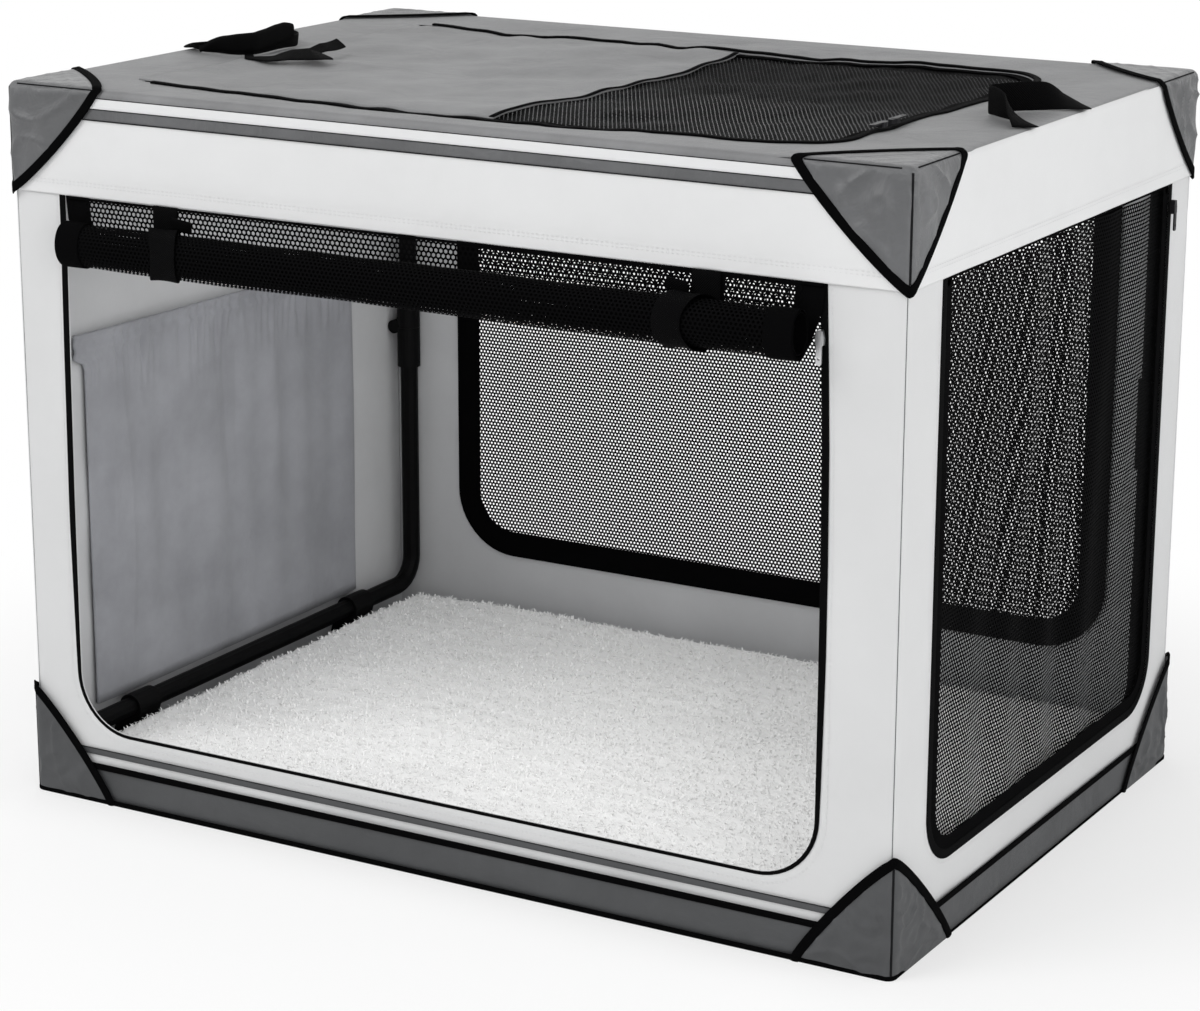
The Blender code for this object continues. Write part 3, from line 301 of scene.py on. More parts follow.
def surface(name, grid, wrap_rows=False, wrap_columns=False, caps=False):
    """Piece through a (rows, columns, 3) grid of points. Its UV is the distance in metres
    along the rows and columns, and its faces point away from the crate's middle, or out of
    the piece itself where it is a closed tube."""
    rows, columns = grid.shape[:2]
    index = np.arange(rows * columns).reshape(rows, columns)
    if wrap_columns:
        index = np.concatenate([index, index[:, :1]], axis=1)
    if wrap_rows:
        index = np.concatenate([index, index[:1]], axis=0)
    u = lengths(grid, 1, wrap_columns)
    v = lengths(grid, 0, wrap_rows)
    places = np.stack(np.meshgrid(u, v), axis=-1)

    def quads(values):
        """Each face's four corners of a grid of values."""
        return np.stack([values[:-1, :-1], values[:-1, 1:], values[1:, 1:], values[1:, :-1]], 2)

    faces = quads(index).reshape(-1, 4)
    uv = quads(places).reshape(-1, 4, 2)
    points = grid.reshape(-1, 3)
    middle = points[faces].mean(axis=1)
    normal = np.cross(points[faces[:, 2]] - points[faces[:, 0]], points[faces[:, 3]] - points[faces[:, 1]])
    closed = wrap_columns and (caps is True or wrap_rows)
    rows_middle = grid.mean(axis=1)
    centre = np.repeat(rows_middle[:len(faces) // (index.shape[1] - 1)], index.shape[1] - 1, axis=0)
    away = middle - (centre if closed else CENTRE)
    flip = (normal * away).sum() < 0
    if flip:
        faces, uv = faces[:, ::-1], uv[:, ::-1]
    mesh = bpy.data.meshes.new(name)
    first, last = index[0, :-1], index[-1, :-1]
    ends = [first if flip else first[::-1], last[::-1] if flip else last]
    ends = ends if caps is True else ends[:1] if caps == "first" else []
    mesh.from_pydata(points.tolist(), [], faces.tolist() + [end.tolist() for end in ends])
    layer = mesh.uv_layers.new(name="UVMap")
    flat = np.zeros((len(mesh.loops), 2), np.float32)
    flat[:uv.size // 2] = uv.reshape(-1, 2)
    layer.data.foreach_set("uv", flat.ravel())
    mesh.shade_smooth()
    return placed(name, mesh)


def thicken(item, thickness, inner_slot=0):
    """Cloth thickness, inwards from the modelled face, with the lining's slot inside."""
    step = item.modifiers.new("cloth", "SOLIDIFY")
    step.thickness = thickness
    step.offset = -1
    step.material_offset = inner_slot
    return item


def settle(item, material, body, slot, *nodes, folds=0.0, lining=None):
    """Give a piece its material, the body it rides on and the node it stands for."""
    item.data.materials.append(material)
    if lining:
        item.data.materials.append(lining)
    if nodes:
        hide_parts(*nodes)
    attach(item, body)
    if folds:
        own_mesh(item)
    return item


def opening_loop(left, low, right, high, radii, steps=30):
    """Rounded rectangle and the outward direction at each point. Each side is a straight run,
    and each corner a quarter circle of its own radius, from the lower left one."""
    corners = [(left, low, 180), (right, low, 270), (right, high, 0), (left, high, 90)]
    points, outward = [], []
    for index, (x, y, first) in enumerate(corners):
        radius = max(radii[index], 0.002)
        centre = np.array([x + radius * (1 if x == left else -1), y + radius * (1 if y == low else -1)])
        turn = np.radians(first + np.linspace(0, 90, 13))
        spoke = np.stack([np.cos(turn), np.sin(turn)], 1)
        points.append(centre + radius * spoke)
        outward.append(spoke)
    run_points, run_outward = [], []
    for index in range(4):
        run_points.append(points[index])
        run_outward.append(outward[index])
        start, end = points[index][-1], points[(index + 1) % 4][0]
        share = np.linspace(0, 1, steps + 2)[1:-1, None]
        run_points.append(start + (end - start) * share)
        run_outward.append(np.repeat(outward[index][-1:], steps, axis=0))
    return np.concatenate(run_points), np.concatenate(run_outward)


def sewn_loop(opening, radii, steps=30):
    """Doorway's rim as it was sewn. The front one's two sides lean sideways by up to 9 mm, read
    between a few heights, and the lean is shared out evenly from one side to the other."""
    loop, outward = opening_loop(*opening, radii, steps)
    if opening == FRONT_DOOR:
        z = loop[:, 1]
        left, right = np.interp(z, *LEFT_LEAN), np.interp(z, *RIGHT_LEAN)
        share = (loop[:, 0] - opening[0]) / (opening[2] - opening[0])
        loop = np.stack([loop[:, 0] + left * (1 - share) + right * share, z], 1)
    return loop, outward


def frame_grid(outer, loop, outward, rows=WALL_ROWS):
    """Plane grid from a rectangle's rim, rows 0, to an opening's rim, rows 1. Each point of the
    opening is carried outwards until it meets the rectangle."""
    left, low, right, high = outer
    away_x, away_y = outward[:, 0], outward[:, 1]
    with np.errstate(divide="ignore", invalid="ignore"):
        reach_x = (np.where(away_x > 0, right, left) - loop[:, 0]) / away_x
        reach_y = (np.where(away_y > 0, high, low) - loop[:, 1]) / away_y
    reach_x = np.where(np.abs(away_x) < 1e-6, np.inf, reach_x)
    reach_y = np.where(np.abs(away_y) < 1e-6, np.inf, reach_y)
    rim = loop + outward * np.minimum(reach_x, reach_y)[:, None]
    for corner in ((left, low), (right, low), (right, high), (left, high)):
        rim[np.argmin(np.linalg.norm(rim - corner, axis=1))] = corner
    share = rows[:, None, None]
    return rim[None] * (1 - share) + loop[None] * share


def front_plane(plane, side):
    """Plane (x, z) on the front, side -1, or the back, side +1."""
    return np.stack([plane[..., 0], np.full(plane.shape[:-1], side * HALF_Y), plane[..., 1]], -1)


def side_plane(plane, side):
    """Plane (y, z) on the left, side -1, or the right, side +1."""
    return np.stack([np.full(plane.shape[:-1], side * HALF_X), plane[..., 0], plane[..., 1]], -1)


def inward(points, amount):
    """Move points of a wall towards the inside by an amount, along the wall's own normal."""
    flat = points.copy()
    facing_x = np.abs(points[..., 0]) - HALF_X > np.abs(points[..., 1]) - HALF_Y
    flat[..., 0] -= np.where(facing_x, np.sign(points[..., 0]) * amount, 0)
    flat[..., 1] -= np.where(facing_x, 0, np.sign(points[..., 1]) * amount)
    return flat


def wall_relief(plane, amount, seed):
    """Slack of a wall, inwards only, so that it clears the band when the crate is folded: the
    amount, with waves added that are cut off at that amount."""
    waves = ripple(plane[..., 0], plane[..., 1], SLACK_SIZE, amount, seed)
    return amount + np.clip(waves, -amount, amount)


front_low, front_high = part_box("front_zip")
FRONT_DOOR = (front_low.x + ZIP_WIDTH, front_low.z + ZIP_WIDTH, front_high.x - ZIP_WIDTH, DOOR_TOP)
side_low, side_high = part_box("side_zip")
SIDE_DOOR = (side_low.y + ZIP_WIDTH, side_low.z + ZIP_WIDTH, side_high.y - ZIP_WIDTH, DOOR_TOP)
net_low, net_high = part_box("back_net")
BACK_WINDOW = (net_low.x + BACK_MARGIN, net_low.z, net_high.x, net_high.z)


def cut_wall(name, facing, side, half, opening, radii, seed):
    """Wall with an opening: the grid between its rim and the opening's, laid on the cover, with
    slack that grows and falls away between the two rims as half a sine wave."""
    loop, outward = sewn_loop(opening, radii)
    plane = frame_grid((-half, WALL_LOW, half, HEIGHT), loop, outward)
    points = on_cover(facing(plane, side), WALL_DEPTH)
    slack = np.sin(np.pi * WALL_ROWS)[:, None] * wall_relief(plane, WALL_SLACK, seed)
    item = surface(name + "_cloth", inward(points, slack), wrap_columns=True)
    thicken(item, CLOTH, 1)
    settle(item, PALE, "base", "pale_cloth", name, folds=WALL_KEEP, lining=LINING)


cut_wall("front_wall", front_plane, -1, HALF_X, FRONT_DOOR, FRONT_DOOR_RADII, seed=3)
cut_wall("back_wall", front_plane, 1, HALF_X, BACK_WINDOW, BACK_RADII, seed=4)
cut_wall("right_wall", side_plane, 1, HALF_Y, SIDE_DOOR, SIDE_DOOR_RADII, seed=5)

across, up = np.meshgrid(np.linspace(-HALF_Y, HALF_Y, 90), np.linspace(WALL_LOW, HEIGHT, 90))
left_plane = np.stack([across, up], -1)
side_fade = np.clip((HALF_Y - np.abs(across)) / LEFT_SLACK_SIDE, 0, 1)
rim_fade = side_fade * np.clip((up - LEFT_SLACK_FOOT) / LEFT_SLACK_RISE, 0, 1)
left_points = inward(on_cover(side_plane(left_plane, -1), WALL_DEPTH),
                     rim_fade * wall_relief(left_plane, LEFT_WALL_SLACK, seed=6))
left_wall = thicken(surface("left_wall_cloth", left_points), CLOTH, 1)
settle(left_wall, PALE, "base", "pale_cloth", "left_wall", folds=WALL_KEEP, lining=LINING)


# Tub. A tray of dark coated cloth: a flat underside and a low band all round, sewn up at the
# corners under the patches. Black piping closes its upper and lower rims.
TUB_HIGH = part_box("tub")[1]
TUB_LIP = 0.0012
TUB_SLACK = 0.0004
TUB_SLACK_SIZE = 0.11
PIPING_WIDTH, PIPING_THICK = 0.0065, 0.0016
PIPING_KEEP = 0.88
FOOT_PIPING_Z, FOOT_PIPING_WIDTH = 0.0024, 0.0046
FOOT_TUCK, FOOT_FLAT = 0.0016, 0.6
TUCK_FROM_CORNER, TUCK_FADE = 0.02, 0.01
DARK = cloth("tub_cloth", (0.064, 0.066, 0.069), 0.55, crumple=0.6, crumple_size=14.0, mottle=0.16,
             sheen=0.05)
BLACK = cloth("black_tape", (0.0025, 0.0025, 0.0027), 0.8, thread=0.0012, weave=0.5, sheen=0.0, gloss=0.01)


def round_rim(inset, z, radius, steps=26):
    """Rounded rectangle round the crate at a height, set in from the outermost layer."""
    half_x, half_y = HALF_X - inset, HALF_Y - inset
    loop, _ = opening_loop(-half_x, -half_y, half_x, half_y, (radius,) * 4, steps)
    return np.stack([loop[:, 0], loop[:, 1], np.full(len(loop), z)], 1)


def rim_relief(loop, size, amount, seed):
    """Same relief for a whole loop, read along its run."""
    run = np.concatenate([[0], np.cumsum(np.linalg.norm(np.diff(loop, axis=0), axis=1))])
    return ripple(run, 0 * run, size, amount, seed)


tub_levels = [(0.0, LAYER + 0.004), (0.0, LAYER), (0.010, LAYER), (0.020, LAYER), (0.030, LAYER),
              (TUB_HIGH.z, LAYER), (TUB_HIGH.z, LAYER + TUB_LIP), (0.018, LAYER + TUB_LIP),
              (TUB_LIP, LAYER + TUB_LIP), (TUB_LIP, LAYER + 0.006)]
tub_grid = []
for level, (z, inset) in enumerate(tub_levels):
    rim = round_rim(inset, z, EDGE_ROUND - LAYER)
    if level in (2, 3, 4):
        rim = inward(rim, TUB_SLACK + rim_relief(rim, TUB_SLACK_SIZE, TUB_SLACK, 20 + level))
    tub_grid.append(rim)
tub = surface("tub_cloth", np.array(tub_grid), wrap_columns=True, caps=True)
settle(tub, DARK, "base", "dark_grey_cloth", "tub")


def unit(vectors):
    """Vectors divided by their own length."""
    return vectors / np.maximum(np.linalg.norm(vectors, axis=-1, keepdims=True), 1e-12)


def carry(path, normal, profile, closed=False):
    """A profile of (across, out) points carried along a path. Out is the given normal made
    square to the path, and across is square to both."""
    if closed:
        along = unit(np.roll(path, -1, 0) - np.roll(path, 1, 0))
    else:
        along = unit(np.gradient(path, axis=0))
    across = unit(np.cross(along, np.broadcast_to(normal, path.shape)))
    out = np.cross(across, along)
    return (path[:, None] + across[:, None] * profile[None, :, :1] + out[:, None] * profile[None, :, 1:])


def tape_profile(width, thickness, lift=0.0, count=14):
    """Flat tape with soft edges: an ellipse whose sides are filled out."""
    turn = np.linspace(0, 2 * np.pi, count, endpoint=False)
    across = width / 2 * np.sign(np.cos(turn)) * np.abs(np.cos(turn)) ** 0.5
    out = thickness / 2 * np.sign(np.sin(turn)) * np.abs(np.sin(turn)) ** 0.8
    return np.stack([across, out + thickness / 2 + lift], 1)


def tape(name, path, normal, width, thickness, closed=False, lift=0.0):
    """Flat tape along a path: the tape's profile carried along it, closed into a ring or capped."""
    grid = carry(path, normal, tape_profile(width, thickness, lift), closed)
    return surface(name, grid, wrap_rows=closed, wrap_columns=True, caps=not closed)


def rim_piping(name, z, width, thickness, folds=0.0):
    """Piping round the crate at a height. Out is away from the nearest point of a rectangle that
    is smaller than the crate by the corner radius."""
    loop = round_rim(LAYER, z, EDGE_ROUND - LAYER, 40)
    core_half = np.array([HALF_X - EDGE_ROUND, HALF_Y - EDGE_ROUND])
    core = np.column_stack([np.clip(loop[:, :2], -core_half, core_half), loop[:, 2]])
    item = tape(name, loop, unit(loop - core), width, thickness, closed=True)
    return settle(item, BLACK, "base", "black_webbing", folds=folds)


rim_piping("tub_top_piping", TUB_HIGH.z + 0.0005, PIPING_WIDTH, PIPING_THICK, folds=PIPING_KEEP)
foot_bead = rim_piping("tub_foot_piping", FOOT_PIPING_Z, FOOT_PIPING_WIDTH, LAYER + 0.0014)
bead_points = np.empty(3 * len(foot_bead.data.vertices))
foot_bead.data.vertices.foreach_get("co", bead_points)
bead_points = bead_points.reshape(-1, 3)
from_corner = HALF_Y - TUCK_FROM_CORNER - np.abs(bead_points[:, 1])
turned_under = np.clip(from_corner / TUCK_FADE, 0, 1)
bead_points[:, 0] -= turned_under * np.sign(bead_points[:, 0]) * FOOT_TUCK
bead_points[:, 2] -= turned_under * bead_points[:, 2] * FOOT_FLAT
foot_bead.data.vertices.foreach_set("co", bead_points.ravel())


# Roof band. A deep band of pale cloth hangs from the roof's edge all round, with a double hem
# at its foot. Over the front edge the roof's grey cloth is turned down, with a darker strip
# under it, and the line between them is trimmed with a white ribbon.
BAND_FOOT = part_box("upper_band")[0].z
HEM_FOLD = 0.014
HEM_STEP, STEP_HEIGHT, ABOVE_HEM = 0.0005, 0.002, 0.0001
SLACK_TOP = 0.09
BAND_SLACK = 0.0003
BAND_SLACK_SIZE = 0.13
LOWER_EDGE_Z, RIBBON_Z, RIBBON_TOP_Z = 0.6606, 0.6712, 0.6808
FRONT_SEAMS = (("top", 0.6602, 0.6612), ("ribbon", 0.6706, 0.6713), ("upper", 0.6806, 0.6813))
STRIP_ROWS = ((0, 0), (0.06, 1), (0.3, 1.1), (0.5, 1.15), (0.62, 1.15), (0.72, 1.1), (0.8, 1.05),
              (0.87, 1), (0.93, 1), (0.97, 0.8), (1, 0))
STRIP_BOW = 0.0004
EDGE_OUT, RIBBON_OUT, SEAM_OUT = 0.0002, 0.0006, 0.0007
# The band is the walls' pale cloth, painted a little lighter than them: painted light, as the band stands
# high and catches more light.
BAND = cloth("band_cloth", (0.73, 0.734, 0.737), 0.7, crumple=0.3, crumple_size=7.0, mottle=0.02)
# The roof's strong mottle is painted shade of soft folds, on top of its uneven dye.
GREY = cloth("roof_cloth", (0.190, 0.192, 0.196), 0.55, crumple=1.0, crumple_size=13.0, mottle=0.20,
             gloss=0.5)
# The corner patches' strong mottle is painted shade of their soft folds and creases, on top of uneven dye.
GUSSET = cloth("corner_cloth", (0.088, 0.090, 0.094), 0.36, crumple=1.0, crumple_size=20.0, mottle=0.25,
               sheen=0.15, gloss=0.6)
RIBBON = cloth("white_ribbon", (0.8, 0.805, 0.81), 0.6, thread=0.0011, weave=0.5, mottle=0.01)
# Near-black for the thin seam lines: painted shade in the grooves of the seams.
CREASE_SHADE_PAINT = cloth("crease_shade", (0.012, 0.012, 0.013), 0.8, sheen=0.0, gloss=0.02)

hem_levels = np.array([0, 0.0015, 0.004, 0.012, 0.0145, 0.017, 0.024, 0.034, 0.044, 0.054, 0.064,
                       0.074, 0.084, 0.092, 0.0955, 0.098, 0.1])
band_loop = round_rim(0, 0, EDGE_ROUND, 60)
band_grid = []
for rise in hem_levels:
    level = band_loop + [0, 0, BAND_FOOT + rise]
    if rise == hem_levels[-1]:
        level[:, 2] = HEIGHT
    rim = on_cover(level, LAYER)
    if rise < SLACK_TOP:
        hollow = 0.0 if rise < HEM_FOLD else HEM_STEP if rise < HEM_FOLD + STEP_HEIGHT else ABOVE_HEM
        waves = ripple(rim[:, 0] + rim[:, 1], rim[:, 2], BAND_SLACK_SIZE, BAND_SLACK, seed=31)
        rim = inward(rim, hollow + waves)
    band_grid.append(rim)
upper_band = thicken(surface("upper_band_cloth", np.array(band_grid), wrap_columns=True), CLOTH)
settle(upper_band, BAND, "roof", "pale_cloth", "upper_band")


def front_strip(name, low, high, depth, material, slot, reach=HALF_X - 0.07, body="roof", folds=0.0):
    """Strip of trim on the front's face between two heights, bowed out a little."""
    x = np.linspace(-reach, reach, 160)
    rows = []
    for share, bow in STRIP_ROWS:
        z = np.full_like(x, low + (high - low) * share)
        flat = np.stack([x, np.full_like(x, -HALF_Y), z], 1)
        rows.append(on_cover(flat, depth - STRIP_BOW * bow))
    return settle(surface(name, np.array(rows)), material, body, slot, folds=folds)


front_strip("front_turned_edge", RIBBON_Z, HEIGHT, LAYER - EDGE_OUT, GREY, "grey_cloth")
front_strip("front_lower_edge", LOWER_EDGE_Z, RIBBON_Z + 0.0004, LAYER - EDGE_OUT, GUSSET, "grey_cloth")
front_strip("front_top_ribbon", RIBBON_Z, RIBBON_TOP_Z, LAYER - RIBBON_OUT, RIBBON, "pale_cloth")
# The seam lines between the front strips are drawn as painted shade.
for label, low, high in FRONT_SEAMS:
    front_strip(f"front_{label}_seam", low, high, LAYER - SEAM_OUT, CREASE_SHADE_PAINT, "grey_cloth")


# Roof. One piece of grey cloth over the top ring, with a doorway cut out of it. It hangs a
# little slack between the ring's tubes.
ROOF_SAG = 0.009
SAG_X, SAG_Y = 0.402, 0.288
VALLEY = 0.0055
VALLEY_X, VALLEY_Y = -0.04, -0.255
VALLEY_LONG, VALLEY_WIDE = 0.37, 0.030
ROOF_RADII = (0.004, 0.05, 0.05, 0.004)
roof_low, roof_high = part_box("roof_door_net")
roof_zip_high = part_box("roof_zip")[1]
ROOF_DOOR = (roof_low.x, roof_low.y, roof_zip_high.x - ZIP_WIDTH, roof_high.y)


def roof_drop(x, y):
    """Depth of the sag: nothing over the ring, most in the middle, with long soft waves, and a
    valley behind the front tube whose depth falls away as a bell curve."""
    bowl = np.clip(1 - (x / SAG_X) ** 2, 0, 1) * np.clip(1 - (y / SAG_Y) ** 2, 0, 1)
    wave = ripple(x, y, size=0.21, amount=0.0012, seed=41)
    wave = wave + ripple(x * 0.5, y, size=0.09, amount=0.0010, seed=42)
    wave = wave + ripple(x, y * 0.6, size=0.045, amount=0.0008, seed=43)
    valley_end = np.clip(1 - ((x - VALLEY_X) / VALLEY_LONG) ** 2, 0, 1)
    valley = VALLEY * np.exp(-((y - VALLEY_Y) / VALLEY_WIDE) ** 2) * valley_end
    return ROOF_SAG * bowl ** 0.8 + (wave + valley) * np.minimum(1, 4 * bowl)


def on_roof(x, y, rise=0.0):
    """Point of the roof's cloth over a place of its plan, with a rise above it."""
    return np.stack([x, y, HEIGHT - LAYER - roof_drop(x, y) + rise], -1)


def roof_plane(plane, side):
    """Plane (x, y) on the roof's cloth. It has one side only."""
    return on_roof(plane[..., 0], plane[..., 1])


loop, outward = opening_loop(*ROOF_DOOR, ROOF_RADII, 40)
roof_rows = np.concatenate([[0, 0.015, 0.03, 0.05], np.linspace(0.08, 1, 22)])
plane = frame_grid((-HALF_X, -HALF_Y, HALF_X, HALF_Y), loop, outward, roof_rows)
roof_points = on_cover(np.concatenate([plane, np.full(plane.shape[:-1] + (1,), HEIGHT)], -1), LAYER)
roof_points[..., 2] -= roof_drop(roof_points[..., 0], roof_points[..., 1])
roof_cloth = thicken(surface("roof_cloth", roof_points, wrap_columns=True), CLOTH)
settle(roof_cloth, GREY, "roof", "grey_cloth", "roof_panel")


# Corner patches. Each is cut as a rounded triangle, folded over the corner and bound with black
# tape. The upper ones cover a corner of the roof, the lower ones a corner of the tub.
PATCH_KEEP = 0.30
TIP_POWER = 1.13
FOLD_RISE = {True: 0.0034, False: 0.0022}
SOFT_RISE = 0.0013
ON_TOP = 0.25
SEAM_FREE = 0.010
RIM_FADE, TIP_FADE = 0.15, 0.25
PUCKER_SIZE, PUCKER_TURNS = 0.085, 3.6
SOFT_SIZE, SOFT_TURNS = 0.045, 2.8
LOWER_RAISED = 0.0005
BINDING_WIDTH, BINDING_THICK = 0.0088, 0.0018
UPRIGHT_SEAM = {"start": 0.004, "share": 0.94, "width": 0.0021}
LEVEL_SEAM = {"start": 0.012, "share": 0.93, "width": 0.0013}
SEAM_THICK = 0.0006


def patch(name, corner, reach, roof, seed):
    """Patch round a corner. Its rim runs at an angle a from one edge to the next at a distance of
    ((cos a / first reach)^p + (sin a / second reach)^p)^(-1/p), with p a little over 1 for round
    tips. Folds stand out of it along its normal, and die away at its rim, tip and edges."""
    edges = np.diag(-np.sign(np.array(corner) - CENTRE))
    order = [(0, 2), (2, 1)] if not roof else [(0, 2), (2, 1), (1, 0)]
    turn = np.linspace(0, np.pi / 2, 49)
    turn = np.pi / 4 - np.pi / 4 * np.cos(2 * turn)
    cos, sin = np.maximum(np.cos(turn), 0), np.maximum(np.sin(turn), 0)
    rim = []
    for first, second in order:
        powers = (cos / reach[first]) ** TIP_POWER + (sin / reach[second]) ** TIP_POWER
        distance = powers[:, None] ** (-1 / TIP_POWER)
        rim.append(distance * (cos[:, None] * edges[first] + sin[:, None] * edges[second]))
    rim = np.concatenate([side[:-1] for side in rim] + ([] if roof else [rim[-1][-1:]]))
    share = np.concatenate([[0.004, 0.03, 0.06], np.linspace(0.1, 1, 26)])[:, None, None]
    flat = np.array(corner) + share * rim[None]
    raised = 0.0 if roof else LOWER_RAISED
    points = on_cover(flat, -raised)
    normal = unit(on_cover(points, -raised - 0.001) - points)
    spread = np.abs(flat - np.array(corner))
    x, y, z = spread[..., 0], spread[..., 1], spread[..., 2]
    pucker = 1 - np.abs(np.sin(ripple(x + y, z, PUCKER_SIZE, PUCKER_TURNS, seed)))
    soft = 0.5 + 0.5 * np.sin(ripple(x - y, z, SOFT_SIZE, SOFT_TURNS, seed + 7))
    fade = np.clip((1 - share[..., 0]) / RIM_FADE, 0, 1) * np.clip(share[..., 0] / TIP_FADE, 0, 1)
    level = np.where(normal[..., 2] > 0.5, ON_TOP, 1.0)
    from_seam = np.clip(np.sort(spread, axis=-1)[..., 1] / SEAM_FREE, 0, 1)
    height = from_seam * fade * level * (FOLD_RISE[roof] * pucker ** 2 + SOFT_RISE * soft)
    points = points + normal * height[..., None]
    body = "roof" if roof else "base"
    keep = 0 if roof else PATCH_KEEP
    item = surface(name + "_cloth", points, wrap_columns=roof, caps="first" if roof else False)
    thicken(item, CLOTH)
    paint, slot = (GUSSET, "gusset_cloth") if roof else (DARK, "dark_grey_cloth")
    settle(item, paint, body, slot, name, folds=keep)
    seams = [2, 0, 1] if roof else [2]
    binding = tape(name + "_binding", points[-1], normal[-1], BINDING_WIDTH, BINDING_THICK, closed=roof,
                   lift=-0.0003)
    settle(binding, BLACK, body, "black_webbing", folds=keep)
    for axis in seams:
        sewn = UPRIGHT_SEAM if axis == 2 else LEVEL_SEAM
        run = np.linspace(sewn["start"], sewn["share"] * reach[axis], 60)
        run = on_cover(run[:, None] * edges[axis] + np.array(corner), -raised)
        out = unit(on_cover(run, -raised - 0.001) - run)
        # The seam's near-black line is painted shade of its groove.
        seam = tape(f"{name}_seam_{axis}", run, out, sewn["width"], SEAM_THICK)
        settle(seam, CREASE_SHADE_PAINT, body, "gusset_cloth", folds=keep)


top_low, top_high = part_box("top_gusset_right_front")
foot_low, foot_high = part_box("bottom_gusset_right_front")
top_reach = [top_high.x - top_low.x, top_high.y - top_low.y, top_high.z - top_low.z]
foot_reach = [foot_high.x - foot_low.x, foot_high.y - foot_low.y, foot_high.z - foot_low.z]
number = 50
for side, side_name in ((-1, "left"), (1, "right")):
    for end, end_name in ((-1, "front"), (1, "back")):
        number += 1
        place = (side * HALF_X, end * HALF_Y, HEIGHT)
        patch(f"top_gusset_{side_name}_{end_name}", place, top_reach, True, number)
        place = (side * HALF_X, end * HALF_Y, 0.0)
        patch(f"bottom_gusset_{side_name}_{end_name}", place, foot_reach, False, number + 10)


# Zips. A tape of black nylon with a coil of fine teeth is sewn round three sides of each doorway.
# Near the front doorway's sill part of its width is turned under.
RIM_RUN, RIM_ARC = 60, 13
U_START, U_COUNT = 4 * (RIM_RUN + RIM_ARC) - RIM_RUN, 3 * RIM_RUN + 2 * RIM_ARC
ZIP_THICK, ROOF_ZIP_THICK = 0.0008, 0.0024
FRONT_SILL_SHARE = 0.48
SILL_HEIGHTS = (0, 0.04, 0.20)
SIDE_ZIP_EXTRA = 0.0016
ZIP = cloth("zip_tape", (0.003, 0.003, 0.0032), 0.7, thread=0.0016, weave=0.6, sheen=0.0, gloss=0.02)


def face_normal(facing, side):
    """Outward normal of the front or back, a side, or the roof."""
    normal = np.zeros(3)
    normal[{front_plane: 1, side_plane: 0, roof_plane: 2}[facing]] = side
    return normal


def zip_tape(name, facing, side, opening, radii, start, depth, width, body, folds, node_name, out=0.5,
             thickness=ZIP_THICK, lift=0.0, sill=1.0):
    """Tape along a doorway's rounded rim, set outwards by a share of its own width. Near the sill
    only a share of that width shows, and the share grows to the whole with height."""
    loop, outward = sewn_loop(opening, radii, RIM_RUN)
    rise = loop[:, 1:] - opening[1]
    shown = np.interp(rise, SILL_HEIGHTS, [sill, 0.8 * sill + 0.2, 1])
    loop = np.roll(loop + outward * width * out * shown, -start, axis=0)[:U_COUNT]
    shown = np.roll(shown, -start, axis=0)[:U_COUNT]
    path = facing(loop, side)
    path = on_cover(path, depth) if facing is not roof_plane else path
    grid = carry(path, face_normal(facing, side), tape_profile(width, thickness, lift))
    grid = path[:, None] + (grid - path[:, None]) * shown[:, None]
    item = surface(name, grid, wrap_columns=True, caps=True)
    settle(item, ZIP, body, "black_webbing", node_name, folds=folds)


zip_tape("front_zip_tape", front_plane, -1, FRONT_DOOR, FRONT_DOOR_RADII, U_START, WALL_DEPTH, ZIP_WIDTH,
         "base", WALL_KEEP, "front_zip", sill=FRONT_SILL_SHARE)
zip_tape("side_zip_tape", side_plane, 1, SIDE_DOOR, SIDE_DOOR_RADII, U_START, WALL_DEPTH,
         ZIP_WIDTH + SIDE_ZIP_EXTRA, "base", WALL_KEEP, "side_zip", out=0.32, lift=-0.0003)
zip_tape("roof_zip_tape", roof_plane, 1, ROOF_DOOR, ROOF_RADII, RIM_ARC, LAYER, ZIP_WIDTH, "roof", 0,
         "roof_zip", thickness=ROOF_ZIP_THICK)


# Back window. Black knitted mesh with six-sided holes, 4 mm apart, lies inside the back wall
# under a wide black edge sewn all round. Its threads are real: each hole's corners are small
# triangles, joined by flat strands.
NET_PITCH = 0.0042
NET_STRAND = 0.0020
BACK_NET_IN = 0.003
BACK_EDGE_WIDTH, BACK_EDGE_IN, BACK_EDGE_OFFSET = 0.028, 0.0045, 0.001
BACK_SEAM_WIDTH, BACK_SEAM_THICK, BACK_SEAM_IN, BACK_SEAM_OFFSET = 0.0016, 0.0008, 0.0004, 0.006
# Dark grey for thin seam lines on the pale cloth: painted shade of the seams' grooves.
SEAM_SHADE_PAINT = cloth("seam_shade", (0.10, 0.104, 0.11), 0.8)


def inside(points, opening, radii, margin=0.0):
    """True where points lie in a rounded rectangle, set in by a margin: nearer than its corner
    radius to the rectangle that is smaller by that radius."""
    left, low, right, high = opening
    middle = np.array([(left + right) / 2, (low + high) / 2])
    half = np.array([(right - left) / 2, (high - low) / 2]) - margin
    from_middle = points - middle
    index = np.where(from_middle[..., 0] < 0, np.where(from_middle[..., 1] < 0, 0, 3),
                     np.where(from_middle[..., 1] < 0, 1, 2))
    radius = np.maximum(np.array(radii) - margin, 0.0)[index]
    beyond = np.abs(from_middle) - half + radius[..., None]
    gap = np.linalg.norm(np.maximum(beyond, 0), axis=-1) + np.minimum(beyond.max(axis=-1), 0)
    return gap < radius


def flat_pieces(name, points, faces):
    """Mesh object from an array of points and a list of faces."""
    mesh = bpy.data.meshes.new(name)
    mesh.from_pydata(points.reshape(-1, 3).tolist(), [], faces)
    return placed(name, mesh)


